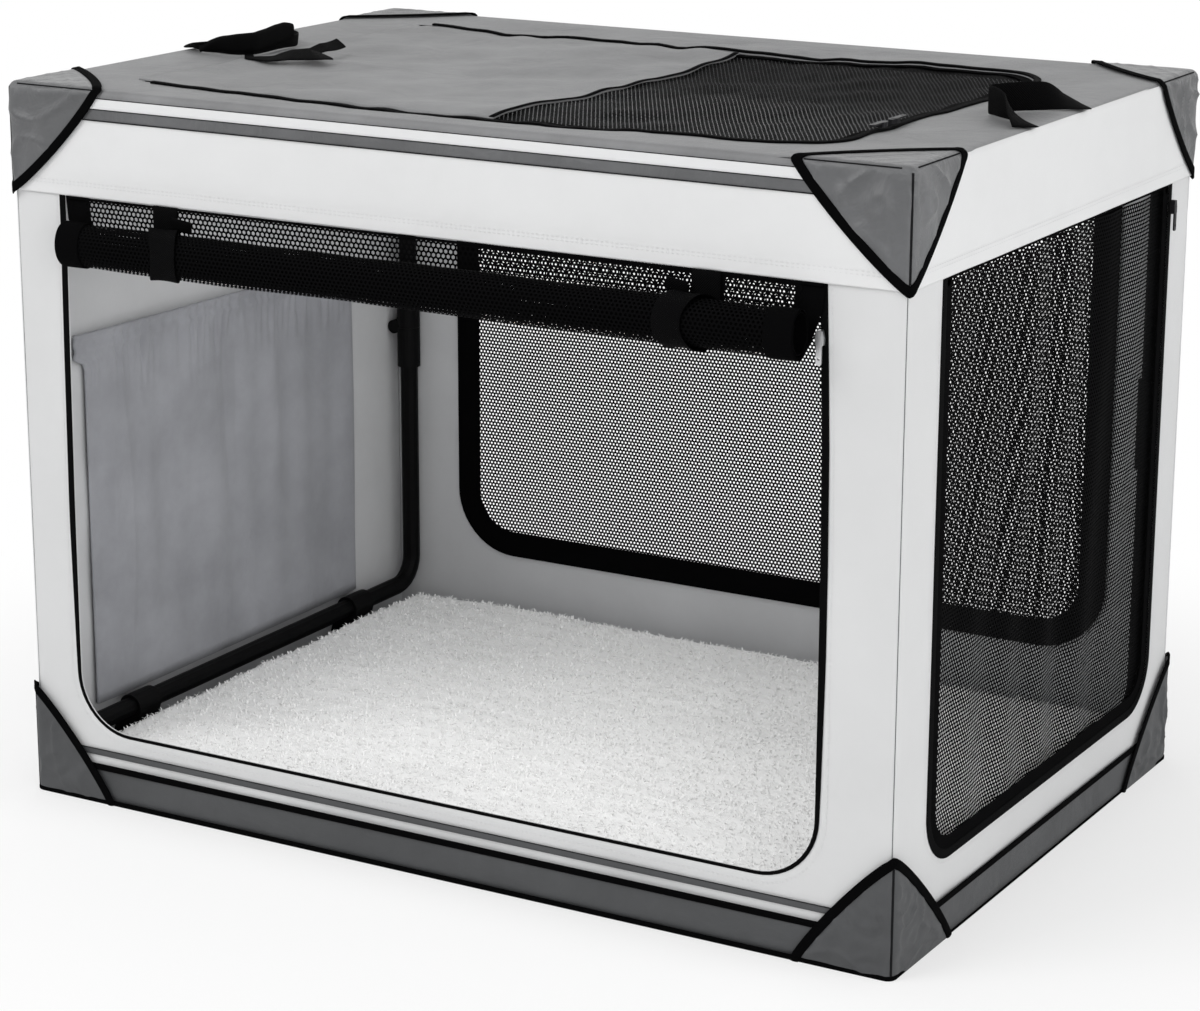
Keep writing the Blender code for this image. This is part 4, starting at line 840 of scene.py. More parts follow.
def honeycomb(name, opening, radii, lay, margin=0.0, pitch=NET_PITCH, strand=NET_STRAND):
    """Net over a rounded rectangle. Its threads meet at two sorts of corner, an upward and a
    downward one, a side length apart, and lay() puts its flat points in place."""
    side = pitch / math.sqrt(3)
    left, low, right, high = opening
    columns = int((right - left) / pitch) + 2
    rows = int((high - low) / (1.5 * side)) + 2
    i, j = np.meshgrid(np.arange(columns), np.arange(rows))
    up = np.stack([left + pitch * (i + 0.5 * (j % 2)), low + 1.5 * side * j], -1)
    down = up + [0, side]
    spoke = strand / 2 / math.cos(math.radians(30))

    def corner(middles, degrees):
        """One corner of each small triangle: a spoke out from its middle, at an angle."""
        turn = math.radians(degrees)
        return middles + spoke * np.array([math.cos(turn), math.sin(turn)])

    flat = np.stack([corner(up, 30), corner(up, 150), corner(up, 270),
                     corner(down, 90), corner(down, 210), corner(down, 330)], 2)
    ids = np.arange(rows * columns * 6).reshape(rows, columns, 6)
    keep_up, keep_down = inside(up, opening, radii, margin), inside(down, opening, radii, margin)
    faces = [ids[keep_up][:, :3], ids[keep_down][:, 3:]]
    both = keep_up & keep_down
    strands = [np.stack([ids[..., 1], ids[..., 0], ids[..., 5], ids[..., 4]], -1)[both]]
    below = ids[:-1]
    shift = (j[1:, :1] % 2 == 0)
    lefts = np.where(shift[..., None], np.roll(below, 1, axis=1), below)
    rights = np.where(shift[..., None], below, np.roll(below, -1, axis=1))
    keep_low = keep_down[:-1]
    keep_left = np.where(shift, np.roll(keep_low, 1, axis=1), keep_low) & keep_up[1:]
    keep_right = np.where(shift, keep_low, np.roll(keep_low, -1, axis=1)) & keep_up[1:]
    keep_left[:, 0] &= ~shift[:, 0]
    keep_right[:, -1] &= shift[:, 0]
    here = ids[1:]
    strands.append(np.stack([here[..., 1], lefts[..., 3], lefts[..., 5], here[..., 2]], -1)[keep_left])
    strands.append(np.stack([here[..., 2], rights[..., 4], rights[..., 3], here[..., 0]], -1)[keep_right])
    quads = np.concatenate(strands)
    used = np.zeros(ids.size, bool)
    used[quads.ravel()] = True
    triangles = np.concatenate(faces)
    triangles = triangles[used[triangles].any(axis=1)]
    used[triangles.ravel()] = True
    number = np.cumsum(used) - 1
    points = lay(flat.reshape(-1, 2)[used])
    return flat_pieces(name, points, number[triangles].tolist() + number[quads].tolist())


def thread_paint(name, colour, roughness, uneven=0.45):
    """Matt thread, its colour made uneven by fine noise."""
    made, tree, shader = new_paint(name)
    place = wire(tree, "TexCoord", {}, "Object")
    fibre = wire(tree, "TexNoise", {"Vector": place, "Scale": 900.0, "Detail": 2.0})
    shade = wire(tree, "MapRange", {"Value": fibre, "To Min": 1 - uneven, "To Max": 1 + uneven})
    tint = wire(tree, "VectorMath", {0: colour, "Scale": shade}, operation="SCALE")
    fill(tree, shader, {"Base Color": tint, "Roughness": roughness, "Specular IOR Level": 0.02})
    return made


NET = thread_paint("net_thread", (0.002, 0.002, 0.0022), 0.7)


def net_piece(item, body, nodes, folds=0.0):
    """Net's material, body and nodes."""
    settle(item, NET, body, "black_net", *nodes, folds=folds)


def ring_trim(name, facing, side, opening, radii, width, depth, offset, material, slot, body, folds,
              *nodes, thickness=0.0011, top=1.0):
    """Closed flat band along a rounded rectangle, its middle set outwards by an offset. The run
    along the top has a share of the width and of the offset."""
    rim, out = opening_loop(*opening, radii, 40)
    shown = np.where(out[:, 1:] > 0.9, top, 1.0)
    path = facing(rim + out * offset * shown, side)
    path = inward(path, depth) if facing is not roof_plane else path + [0, 0, depth]
    grid = carry(path, face_normal(facing, side), tape_profile(width, thickness), True)
    grid = path[:, None] + (grid - path[:, None]) * shown[:, None]
    item = surface(name, grid, wrap_rows=True, wrap_columns=True)
    settle(item, material, body, slot, *nodes, folds=folds)


def lay_back(flat):
    """Back window's net: upright, inside the wall, with long soft waves."""
    x, z = flat[:, 0], flat[:, 1]
    y = HALF_Y - WALL_DEPTH - BACK_NET_IN + ripple(x, z * 0.6, size=0.17, amount=0.0010, seed=71)
    return np.stack([x, y, z], 1)


back_item = honeycomb("back_window_net", BACK_WINDOW, BACK_RADII, lay_back, margin=0.002)
net_piece(back_item, "base", ["back_net"], WALL_KEEP)
ring_trim("back_window_edge", front_plane, 1, BACK_WINDOW, BACK_RADII, BACK_EDGE_WIDTH,
          WALL_DEPTH + BACK_EDGE_IN, BACK_EDGE_OFFSET, BLACK, "black_webbing", "base", WALL_KEEP,
          "back_binding")
# The seam round the window is a thin line of painted shade.
ring_trim("back_window_seam", front_plane, 1, BACK_WINDOW, BACK_RADII, BACK_SEAM_WIDTH,
          WALL_DEPTH + BACK_SEAM_IN, BACK_SEAM_OFFSET, SEAM_SHADE_PAINT, "pale_cloth", "base", WALL_KEEP,
          thickness=BACK_SEAM_THICK)


# Side door. A net panel bound with black tape, zipped shut, which hangs from under the hem.
# It is a little slack, and its upper edge is sewn under the band.
SIDE_NET_IN = 0.0048
SIDE_FOLD, SIDE_FOLD_PITCH = 0.0022, 0.085
SIDE_EDGE_WIDTH, SIDE_EDGE_IN, SIDE_EDGE_OFFSET = 0.0135, 0.0014, -0.0058
SIDE_EDGE_TOP = 0.2
PANEL_GAP = 0.0008
SIDE_PANEL = (SIDE_DOOR[0] + PANEL_GAP, SIDE_DOOR[1] + PANEL_GAP, SIDE_DOOR[2] - PANEL_GAP,
              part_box("side_door_net")[1].z)
SIDE_PANEL_RADII = (0.044, 0.044, 0.002, 0.002)


def lay_side(flat):
    """Slack net: upright folds, a sine wave whose place wanders with height, deepest in the
    middle, with soft waves added."""
    y, z = flat[:, 0], flat[:, 1]
    bowl = np.clip((y - SIDE_PANEL[0]) * (SIDE_PANEL[2] - y) / 0.06, 0, 1)
    folds = np.sin(2 * np.pi * (y + 0.02 * np.sin(9 * z)) / SIDE_FOLD_PITCH) * SIDE_FOLD
    waves = ripple(y, z * 0.4, size=0.12, amount=0.0015, seed=72)
    x = HALF_X - WALL_DEPTH - SIDE_NET_IN + bowl * (folds + waves)
    return np.stack([x, y, z], 1)


side_item = honeycomb("side_door_mesh", SIDE_PANEL, SIDE_PANEL_RADII, lay_side, margin=0.004)
net_piece(side_item, "side_door", ["side_door_net"], WALL_KEEP)
ring_trim("side_door_edge", side_plane, 1, SIDE_PANEL, SIDE_PANEL_RADII, SIDE_EDGE_WIDTH,
          WALL_DEPTH + SIDE_EDGE_IN, SIDE_EDGE_OFFSET, BLACK, "black_webbing", "side_door", WALL_KEEP,
          "side_door_binding", top=SIDE_EDGE_TOP)


# Roof door. A net flap bound with black tape, hinged at the left. Grey cloth covers its left
# half. It lies in the roof's doorway and sags with it.
ROOF_HINGE_GAP = 0.001
ROOF_PANEL = (ROOF_DOOR[0] + ROOF_HINGE_GAP, ROOF_DOOR[1] + PANEL_GAP, ROOF_DOOR[2] - PANEL_GAP,
              ROOF_DOOR[3] - PANEL_GAP)
ROOF_PANEL_RADII = (0.003, 0.049, 0.049, 0.003)
ROOF_STRAND = 0.0032
ROOF_NET_DOWN = 0.0012
ROOF_EDGE_WIDTH, ROOF_EDGE_OFFSET, ROOF_EDGE_RISE = 0.011, -0.0055, -0.0009
COVER_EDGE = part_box("roof_door_cover")[1].x
COVER_LAP = 0.007
COVER_INSET = 0.004
COVER_RISE = 0.0012
COVER_TAPE_WIDTH, COVER_TAPE_THICK = 0.006, 0.001
COVER_TAPE_ENDS, COVER_TAPE_IN, COVER_TAPE_RISE = 0.006, 0.002, 0.0016


def lay_roof(flat):
    """Roof door's net: on the roof's sag, a little lower, with small waves."""
    x, y = flat[:, 0], flat[:, 1]
    return on_roof(x, y, ripple(x, y, size=0.035, amount=0.0003, seed=73) - ROOF_NET_DOWN)


roof_item = honeycomb("roof_door_mesh", ROOF_PANEL, ROOF_PANEL_RADII, lay_roof, margin=0.003,
                      strand=ROOF_STRAND)
net_piece(roof_item, "roof_door", ["roof_door_net"])
ring_trim("roof_door_edge", roof_plane, 1, ROOF_PANEL, ROOF_PANEL_RADII, ROOF_EDGE_WIDTH,
          ROOF_EDGE_RISE, ROOF_EDGE_OFFSET, BLACK, "black_webbing", "roof_door", 0)
across, along = np.meshgrid(np.linspace(ROOF_DOOR[0] - COVER_LAP, COVER_EDGE, 80),
                            np.linspace(ROOF_PANEL[1] + COVER_INSET, ROOF_PANEL[3] - COVER_INSET, 80))
cover_waves = ripple(across, along, size=0.09, amount=0.0005, seed=74)
cover_points = on_roof(across, along, COVER_RISE + cover_waves)
cover = thicken(surface("roof_door_shade", cover_points), CLOTH, 1)
settle(cover, GREY, "roof_door", "grey_cloth", "roof_door_cover", lining=LINING)
edge_y = np.linspace(ROOF_PANEL[1] + COVER_TAPE_ENDS, ROOF_PANEL[3] - COVER_TAPE_ENDS, 70)
edge_path = on_roof(np.full_like(edge_y, COVER_EDGE - COVER_TAPE_IN), edge_y, COVER_TAPE_RISE)
cover_edge = tape("roof_cover_edge", edge_path, [0, 0, 1], COVER_TAPE_WIDTH, COVER_TAPE_THICK)
settle(cover_edge, BLACK, "roof_door", "black_webbing")


# Rolled front door. The net door is wound up under the hem: it hangs a little way, then
# winds inwards, its two ends bound with plain black tape. Two webbing straps hold it.
ROLL_LOW, ROLL_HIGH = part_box("front_door_roll")
ROLL_RADIUS = 0.022
ROLL_FLAT = 0.76
ROLL_DRAW = (0.011, -0.014)
ROLL_PITCH = 0.0021
ROLL_TURNS = 2.6
ROLL_NET_INSET = 0.02
HANG_PITCH, WOUND_PITCH, ROLL_STRAND = 0.0050, 0.0045, 0.0019
END_TAPE_WIDTH, END_TAPE_THICK, END_LIFT = 0.026, 0.0009, 0.0003
ROLL_HEM_WIDTH, ROLL_HEM_THICK = 0.0026, 0.0009
ROLL_MIDDLE = np.array([ROLL_HIGH.y - ROLL_RADIUS * ROLL_FLAT, ROLL_LOW.z + ROLL_RADIUS])
HANG = ROLL_HIGH.z - ROLL_MIDDLE[1]
ROLL_RUN = ROLL_TURNS * 2 * math.pi * ROLL_RADIUS
WOUND = ROLL_TURNS * 2 * math.pi * (ROLL_RADIUS - ROLL_PITCH * ROLL_TURNS / 2)


def roll_place(x, run, lift=0.0):
    """Point of the rolled door after a run down from the hem: a straight hang, then a spiral
    whose radius shrinks by one pitch a turn, pressed flatter by the straps. Slack makes the
    radius wander along the roll, and winding draws its two ends in."""
    drawn = np.clip(run / HANG - 0.35, 0, 1)
    x = x + drawn * np.interp(x, [ROLL_LOW.x, ROLL_HIGH.x], ROLL_DRAW)
    turn = np.maximum(run - HANG, 0) / ROLL_RADIUS
    slack = 1 + ripple(x, turn * 0.02, size=0.15, amount=0.022, seed=75)
    radius = (ROLL_RADIUS - 0.0006 - ROLL_PITCH * turn / (2 * math.pi)) * slack + lift
    hanging = run < HANG
    y = np.where(hanging, ROLL_HIGH.y - 0.0005 + lift, ROLL_MIDDLE[0] + ROLL_FLAT * radius * np.cos(turn))
    z = np.where(hanging, ROLL_HIGH.z - run, ROLL_MIDDLE[1] - radius * np.sin(turn))
    return np.stack([x, y, z], -1)


for label, first, last, flat_run, pitch, held, trims in (
        ("hang", 0.0, HANG, HANG, HANG_PITCH, "hung", ["rolled_door_hem"]),
        ("mesh", HANG, HANG + ROLL_RUN, WOUND, WOUND_PITCH, "folded",
         ["rolled_door_end_left", "rolled_door_end_right"])):
    opening = (ROLL_LOW.x + ROLL_NET_INSET, first, ROLL_HIGH.x - ROLL_NET_INSET, last)
    item = honeycomb("rolled_door_" + label, opening, (0,) * 4,
                     lambda flat: roll_place(flat[:, 0], flat[:, 1]), 0.0, pitch, ROLL_STRAND)
    net_piece(item, "front_roll", ["front_door_roll"])
run = np.concatenate([[0, HANG * 0.5], HANG + np.linspace(0, ROLL_RUN, 110)])
bulge = np.array([-0.0003, 0.0002, 0.0003, 0.0002, -0.0003])[None]
for label, low_x, high_x in (("left", ROLL_LOW.x, ROLL_LOW.x + END_TAPE_WIDTH),
                             ("right", ROLL_HIGH.x - END_TAPE_WIDTH, ROLL_HIGH.x)):
    x = np.array([low_x, low_x + 0.0008, (low_x + high_x) / 2, high_x - 0.0008, high_x])
    grid_x, grid_run = np.meshgrid(x, run)
    end_grid = roll_place(grid_x, grid_run, END_LIFT + bulge)
    end_tape = thicken(surface(f"rolled_door_end_{label}", end_grid), END_TAPE_THICK)
    settle(end_tape, BLACK, "front_roll", "black_webbing")
bar_x = np.linspace(ROLL_LOW.x + 0.002, ROLL_HIGH.x - 0.002, 120)
hem_path = roll_place(bar_x, np.full_like(bar_x, 0.0012), 0)
roll_hem = tape("rolled_door_hem", hem_path, [0, -1, 0], ROLL_HEM_WIDTH, ROLL_HEM_THICK)
settle(roll_hem, BLACK, "front_roll", "black_webbing")


# Straps. Each is a length of black webbing sewn under the hem. It goes down behind the roll,
# round it and up in front, and a short tab lies beside it. Pulled askew, it leans along the roll.
STRAP_DEPTH = 2 * ROLL_FLAT * ROLL_RADIUS
WRAP_DEGREES = (4, -338)
STRAP_THICK, STRAP_GAP, STRAP_BEHIND, STRAP_FRONT = 0.0011, 0.0004, 0.0010, 0.0026
TAB_Z, TAB_REACH = 0.5745, [0.010, 0.0004, -0.0015]
TAB_WIDTH, TAB_THICK = 0.013, 0.0022
WEBBING = cloth("webbing", (0.003, 0.003, 0.0032), 0.6, thread=0.0022, weave=0.8, mottle=0.15,
                sheen=0.0, gloss=0.02)


def ribbon(name, path, spread, width, thickness, material, body, slot, *nodes, folds=0.0):
    """Webbing along a path, spread to both sides of it along the given directions."""
    along = unit(np.gradient(path, axis=0))
    spread = unit(spread - (spread * along).sum(-1, keepdims=True) * along)
    out = np.cross(along, spread)
    profile = tape_profile(1.0, 1.0, -0.5)
    width = np.broadcast_to(np.asarray(width, float), (len(path),))[:, None, None]
    grid = (path[:, None] + spread[:, None] * profile[None, :, :1] * width
            + out[:, None] * profile[None, :, 1:] * thickness)
    item = surface(name, grid, wrap_columns=True, caps=True)
    return settle(item, material, body, slot, *nodes, folds=folds)


for label, hang_x, wrap_x, tab_x in (("left", -0.2800, -0.2594, -0.2577), ("right", 0.2752, 0.2527, 0.2487)):
    strap_low, strap_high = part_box(f"roll_strap_{label}")
    turn = np.radians(np.linspace(*WRAP_DEGREES, 100))
    round_y = ROLL_MIDDLE[0] + (ROLL_FLAT * ROLL_RADIUS + STRAP_GAP) * np.cos(turn)
    round_z = ROLL_MIDDLE[1] + (ROLL_RADIUS + STRAP_GAP) * np.sin(turn)
    front_z = np.linspace(round_z[-1] + 0.004, strap_high.z, 6)
    path_y = np.concatenate([np.full(2, ROLL_HIGH.y + STRAP_BEHIND), round_y,
                             np.full(6, ROLL_HIGH.y - STRAP_FRONT)])
    path_z = np.concatenate([[strap_high.z, strap_high.z - 0.02], round_z, front_z])
    path_x = hang_x + (wrap_x - hang_x) * np.clip((ROLL_HIGH.y - path_y) / STRAP_DEPTH, 0, 1)
    ribbon(f"roll_strap_{label}_web", np.stack([path_x, path_y, path_z], 1), np.array([[1.0, 0, 0]]),
           strap_high.x - strap_low.x, STRAP_THICK, WEBBING, "front_roll", "black_webbing",
           f"roll_strap_{label}")
    tab = np.array([tab_x, ROLL_HIGH.y - 0.006, TAB_Z]) + np.linspace(-1, 1, 12)[:, None] * TAB_REACH
    ribbon(f"roll_strap_{label}_tab", tab, np.array([[0, -0.35, 1.0]]), TAB_WIDTH, TAB_THICK, WEBBING,
           "front_roll", "black_webbing")


# Carrying handles. Webbing is sewn to the roof's edge at both ends and lies folded on the
# roof: flat at its ends, it turns on edge towards its folded tip. The left one has a padded
# grip, and a tab on a short flat strap that starts under it.
HANDLE_LOW, HANDLE_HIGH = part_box("right_handle")
HANDLE_FOOT = HANDLE_LOW.z
HANDLE_TALL = HANDLE_HIGH.z - HANDLE_FOOT
HANDLE_END = 0.4535
HANDLE_THICK = 0.0017
LEFT_SHARE = 0.48
GRIP_THICK, FLAT_STRAP_THICK, FLAT_TAB_THICK = 0.0075, 0.0022, 0.0020
LEFT_NEAR = [(-HANDLE_END, -0.047), (-0.4223, -0.0723), (-0.3889, -0.0648), (-0.3727, -0.051),
             (-0.3717, -0.013)]
LEFT_FAR = [(-0.3721, 0.017), (-0.376, 0.030), (-0.388, 0.042), (-0.420, 0.050), (-HANDLE_END, 0.050)]
GRIP = cloth("grip_cloth", (0.0035, 0.0035, 0.0037), 0.75, thread=0.0013, weave=0.5, mottle=0.12,
             sheen=0.0, gloss=0.03)


def turned_ribbon(name, corners, tilt, width, thickness, material, body="left_handle", node=None, rise=None,
                  count=70):
    """Webbing through plan points, smoothed by a moving average. Its spread turns from level to
    upright as the tilt runs from 0 to 90 degrees, and it always stands on the roof."""
    corners = np.array(corners, float)
    steps = np.concatenate([[0], np.cumsum(np.linalg.norm(np.diff(corners, axis=0), axis=1))])
    run = np.linspace(0, steps[-1], count)
    plan = np.stack([np.interp(run, steps, corners[:, k]) for k in range(2)], 1)
    padded = np.concatenate([np.repeat(plan[:1], 2, 0), plan, np.repeat(plan[-1:], 2, 0)])
    plan = sum(padded[k:k + count] for k in range(5)) / 5

    def spaced(values):
        """Values spread evenly along the webbing, and read at each of its points."""
        return np.interp(np.linspace(0, 1, count), np.linspace(0, 1, np.size(values)), np.atleast_1d(values))

    lean, wide = np.radians(spaced(tilt)), spaced(width)
    along = unit(np.gradient(plan, axis=0))
    level = np.stack([-along[:, 1], along[:, 0], 0 * run], 1)
    spread = level * np.cos(lean)[:, None] + np.array([0, 0, 1.0]) * np.sin(lean)[:, None]
    z = HANDLE_FOOT + thickness / 2 + wide / 2 * np.sin(lean) - roof_drop(plan[:, 0], plan[:, 1])
    z = z if rise is None else z + spaced(rise)
    path = np.stack([plan[:, 0], plan[:, 1], z], 1)
    nodes = [node] if node else []
    ribbon(name, path, spread, wide, thickness, material, body, "black_webbing", *nodes)


def loose_loop(tip, near, far):
    """Plan of the right handle, folded: a near run, a tight turn at the tip and a far run. Each
    run bends where a share of the way between its end and the tip is covered."""
    near_end, far_end, tip = np.array([HANDLE_END, near]), np.array([HANDLE_END, far]), np.array(tip)
    back = tip + [0.0008, 0.003]
    return [near_end, near_end * 0.72 + tip * 0.28, tip * 0.8 + near_end * 0.2, tip,
            tip + [-0.0015, 0.0016], back, back * 0.8 + far_end * 0.2, far_end * 0.72 + back * 0.28, far_end]


turned_ribbon("right_handle_web", loose_loop(tip=(0.392, -0.030), near=-0.090, far=0.045),
              tilt=[3, 30, 72, 86, 90, 90, 86, 72, 30, 3], width=HANDLE_TALL, thickness=HANDLE_THICK,
              material=WEBBING, body="right_handle", node="right_handle")
turned_ribbon("left_handle_web", LEFT_NEAR + LEFT_FAR, tilt=[177, 140, 100, 92, 90, 90, 94, 108, 150, 177],
              width=HANDLE_TALL * LEFT_SHARE, thickness=HANDLE_THICK, material=WEBBING, node="left_handle")
turned_ribbon("left_grip_pad", LEFT_NEAR[1:] + [(-0.3721, 0.013)], tilt=[150, 112, 98, 94, 92, 90],
              width=[0.003, 0.011, 0.0155, 0.018, 0.019, 0.0195, 0.0195, 0.0195, 0.0185, 0.0145],
              thickness=GRIP_THICK, material=GRIP, node="left_grip",
              rise=[0.0, 0.0, 0.0, 0.0, 0.001, 0.003, 0.006])
turned_ribbon("left_strap_end", [(-0.3735, -0.057), (-0.352, -0.086), (-0.325, -0.083), (-0.292, -0.066),
                                 (-0.288, -0.048)], tilt=[2, 3, 5, 9, 17, 19, 12],
              width=[0.009, 0.009, 0.010, 0.019, 0.0236, 0.0257, 0.022], thickness=FLAT_STRAP_THICK,
              material=WEBBING, rise=[0, 0.0002, 0.0009, 0.0026, 0.0047, 0.0054, 0.004])
turned_ribbon("left_strap_tab", [(-0.306, -0.060), (-0.305, -0.020), (-0.307, 0.004)], tilt=[8, 30, 38],
              width=[0.012, 0.013, 0.013], thickness=FLAT_TAB_THICK, material=WEBBING,
              rise=[0.004, 0.008, 0.009])


# Fleece mat. A deep white pile on a quilted pad that fills the tray and lies up against the
# frame. It is thickest in the middle and its edge is turned in all round.
MAT_LOW, MAT_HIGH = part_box("fleece_mat")
MAT_HALF = np.array([(MAT_HIGH.x - MAT_LOW.x) / 2, (MAT_HIGH.y - MAT_LOW.y) / 2])
MAT_EDGE, MAT_EDGE_POWER = 0.024, 2.2
MAT_BUMP_ROOM = 0.0025
ROW_CROWDING = 1.15
PAD_THICK = 0.018
TUFTS = 26000
TUFT_ROOT = 0.001
TUFT_REACH_X, TUFT_REACH_Y = 0.985, 0.98
TUFT_HALF_WIDTHS, TUFT_HEIGHTS = (0.0005, 0.0011), (0.0012, 0.0030)
FLEECE = cloth("fleece", (0.95, 0.95, 0.945), 0.95, thread=0.0031, weave=0.1, mottle=0.04, sheen=0.5,
               crumple=0.35, crumple_size=120.0, gloss=0.1)


def mat_surface(share_x, share_y):
    """Top of the mat over shares from -1 to 1 of its half sides. It rises from its rim as a round
    edge, a power curve of the distance from the rim, with soft bumps where the pile clumps."""
    x = share_x * MAT_HALF[0]
    y = share_y * MAT_HALF[1]
    edge = np.minimum((1 - np.abs(share_x)) * MAT_HALF[0], (1 - np.abs(share_y)) * MAT_HALF[1])
    rim = np.sqrt(np.clip(1 - np.clip(1 - edge / MAT_EDGE, 0, 1) ** MAT_EDGE_POWER, 0, 1))
    low, high = MAT_EDGE, MAT_HIGH.z - MAT_BUMP_ROOM
    clumps = ripple(x, y, size=0.030, amount=0.0005, seed=81)
    clumps = clumps + ripple(x, y, size=0.009, amount=0.0003, seed=82)
    swell = ripple(x, y, size=0.16, amount=0.0014, seed=83)
    return np.stack([x, y, low + (high - low) * rim + (clumps + swell) * rim], -1)


share = np.linspace(-1, 1, 220)
share = np.sign(share) * (1 - (1 - np.abs(share)) ** ROW_CROWDING)
grid_x, grid_y = np.meshgrid(share, np.linspace(-1, 1, 160))
mat_item = surface("fleece_pile", mat_surface(grid_x, grid_y))
under = mat_item.modifiers.new("pad", "SOLIDIFY")
under.thickness = PAD_THICK
under.offset = 1
settle(mat_item, FLEECE, "base", "white_fleece", "fleece_mat")


dice = np.random.default_rng(84)
root_x = dice.uniform(-TUFT_REACH_X, TUFT_REACH_X, TUFTS)
root_y = dice.uniform(-TUFT_REACH_Y, TUFT_REACH_Y, TUFTS)
root = mat_surface(root_x, root_y)
turn = dice.uniform(0, 2 * math.pi, TUFTS)
lean = np.stack([np.cos(turn), np.sin(turn), np.zeros(TUFTS)], 1)
crosswise = np.stack([-np.sin(turn), np.cos(turn), np.zeros(TUFTS)], 1)
wide = crosswise * dice.uniform(*TUFT_HALF_WIDTHS, TUFTS)[:, None]
tall = dice.uniform(*TUFT_HEIGHTS, TUFTS)[:, None]
upright = np.array([0, 0, 1.0])
bend = lean * tall * 0.6 + upright * tall * 0.7
blades = np.stack([root - wide - upright * TUFT_ROOT, root + wide - upright * TUFT_ROOT,
                   root + wide * 0.8 + bend, root - wide * 0.8 + bend,
                   root + lean * tall * 1.6 + upright * tall], 1)
first = np.arange(TUFTS)[:, None] * 5
tufts = flat_pieces("fleece_tufts", blades, (first + [0, 1, 2, 3]).tolist() + (first + [3, 2, 4]).tolist())
settle(tufts, thread_paint("fleece_fibre", (0.93, 0.93, 0.925), 0.95, 0.06), "base", "white_fleece")


# Wall pocket. Grey cloth gathered by elastic in its hem, sewn to the left wall on three sides.
# Folds run up and down it, strongest near the hem, and the hem stands out as two ridges.
POCKET_WIDER = 0.020
POCKET_THICK = 0.0009
POCKET_STAND, POCKET_FULL = 0.0045, 0.0035
POCKET_FLARE, POCKET_HEM_LOWER, POCKET_SLOPE = 0.016, 0.003, 0.006
GATHER_DEEP, FOLD_DEEP = 0.0022, 0.0050
HEM_RIDGES = ((0.0022, 0.958, 0.010), (0.0020, 0.992, 0.008))
pocket_low, pocket_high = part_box("wall_pocket")
# The pocket's strong mottle is painted shade of its soft folds, on top of uneven dye.
POCKET = cloth("pocket_cloth", (0.33, 0.335, 0.36), 0.75, crumple=0.6, crumple_size=12.0, mottle=0.16)
across, rise = np.meshgrid(np.linspace(0, 1, 240), np.concatenate(
    [np.linspace(0, 0.9, 34), [0.92, 0.935, 0.945, 0.955, 0.962, 0.97, 0.978, 0.986, 0.994, 1.0]]))
below_hem = 1 - 1 / (1 + np.exp(-(rise - 0.925) / 0.003))
body_edge = POCKET_FLARE * (1 - across) ** 12 * below_hem
pocket_y = pocket_low.y + (pocket_high.y + POCKET_WIDER - pocket_low.y) * across + body_edge
pocket_z = pocket_low.z + (pocket_high.z - POCKET_HEM_LOWER - pocket_low.z) * rise
pocket_z = pocket_z + POCKET_SLOPE * (0.5 - across) * rise
drawn = np.sin(np.pi * across) ** 0.25
span = across * 0.45
gathers = ripple(span, rise * 0.04, size=0.011, amount=1.0, seed=91)
long_folds = ripple(span, rise * 0.03, size=0.075, amount=0.9, seed=92)
long_folds = long_folds + ripple(span, rise * 0.02, size=0.030, amount=0.35, seed=93)
near_hem = np.exp(-((rise - 0.93) / 0.07) ** 2)
hollow = np.sin(np.pi * np.clip(rise / 0.96, 0, 1)) ** 0.6
gathered = GATHER_DEEP * gathers * near_hem + FOLD_DEEP * np.clip(long_folds, -1, 1) * hollow
hem_ridge = sum(tall * np.exp(-((rise - at) / wide) ** 2) for tall, at, wide in HEM_RIDGES)
pocket_x = -HALF_X + WALL_DEPTH + CLOTH + POCKET_STAND + drawn * (POCKET_FULL + gathered) + hem_ridge
pocket = surface("wall_pocket_cloth", np.stack([pocket_x, pocket_y, pocket_z], -1))
thicken(pocket, POCKET_THICK)
settle(pocket, POCKET, "base", "lining_cloth", "wall_pocket", folds=0.15)


# Front sill trim. A ribbon of the tub's dark cloth is sewn above the tub on the front only, with
# a seam along its upper edge, whose dark line is painted shade.
SILL_REACH = HALF_X - 0.04
SILL_STRIPE, SILL_SEAM = (0.0475, 0.0540), (0.0535, 0.0543)
SILL_STRIPE_OUT, SILL_SEAM_OUT = 0.0010, 0.0014
front_strip("front_low_stripe", *SILL_STRIPE, WALL_DEPTH - SILL_STRIPE_OUT, DARK, "dark_grey_cloth",
            body="base", folds=WALL_KEEP, reach=SILL_REACH)
front_strip("front_low_seam", *SILL_SEAM, WALL_DEPTH - SILL_SEAM_OUT, CREASE_SHADE_PAINT, "dark_grey_cloth",
            body="base", folds=WALL_KEEP, reach=SILL_REACH)


# Stitches and seams. The hem has two lines of pale thread, the doorways one, set out from their
# zips, and the walls are sewn together down the four posts.
STITCH_LONG, STITCH_GAP, STITCH_WIDE = 0.0032, 0.0016, 0.0006
DOORWAY_STITCH_OUT = 0.0105
HEM_STITCHES = (("low", 0.0105), ("high", 0.0135))
POST_SEAM_WIDTH, POST_SEAM_THICK, POST_SEAM_SUNK = 0.0011, 0.0006, 0.00045
PALE_THREAD = thread_paint("pale_thread", (0.69, 0.694, 0.70), 0.5, 0.1)


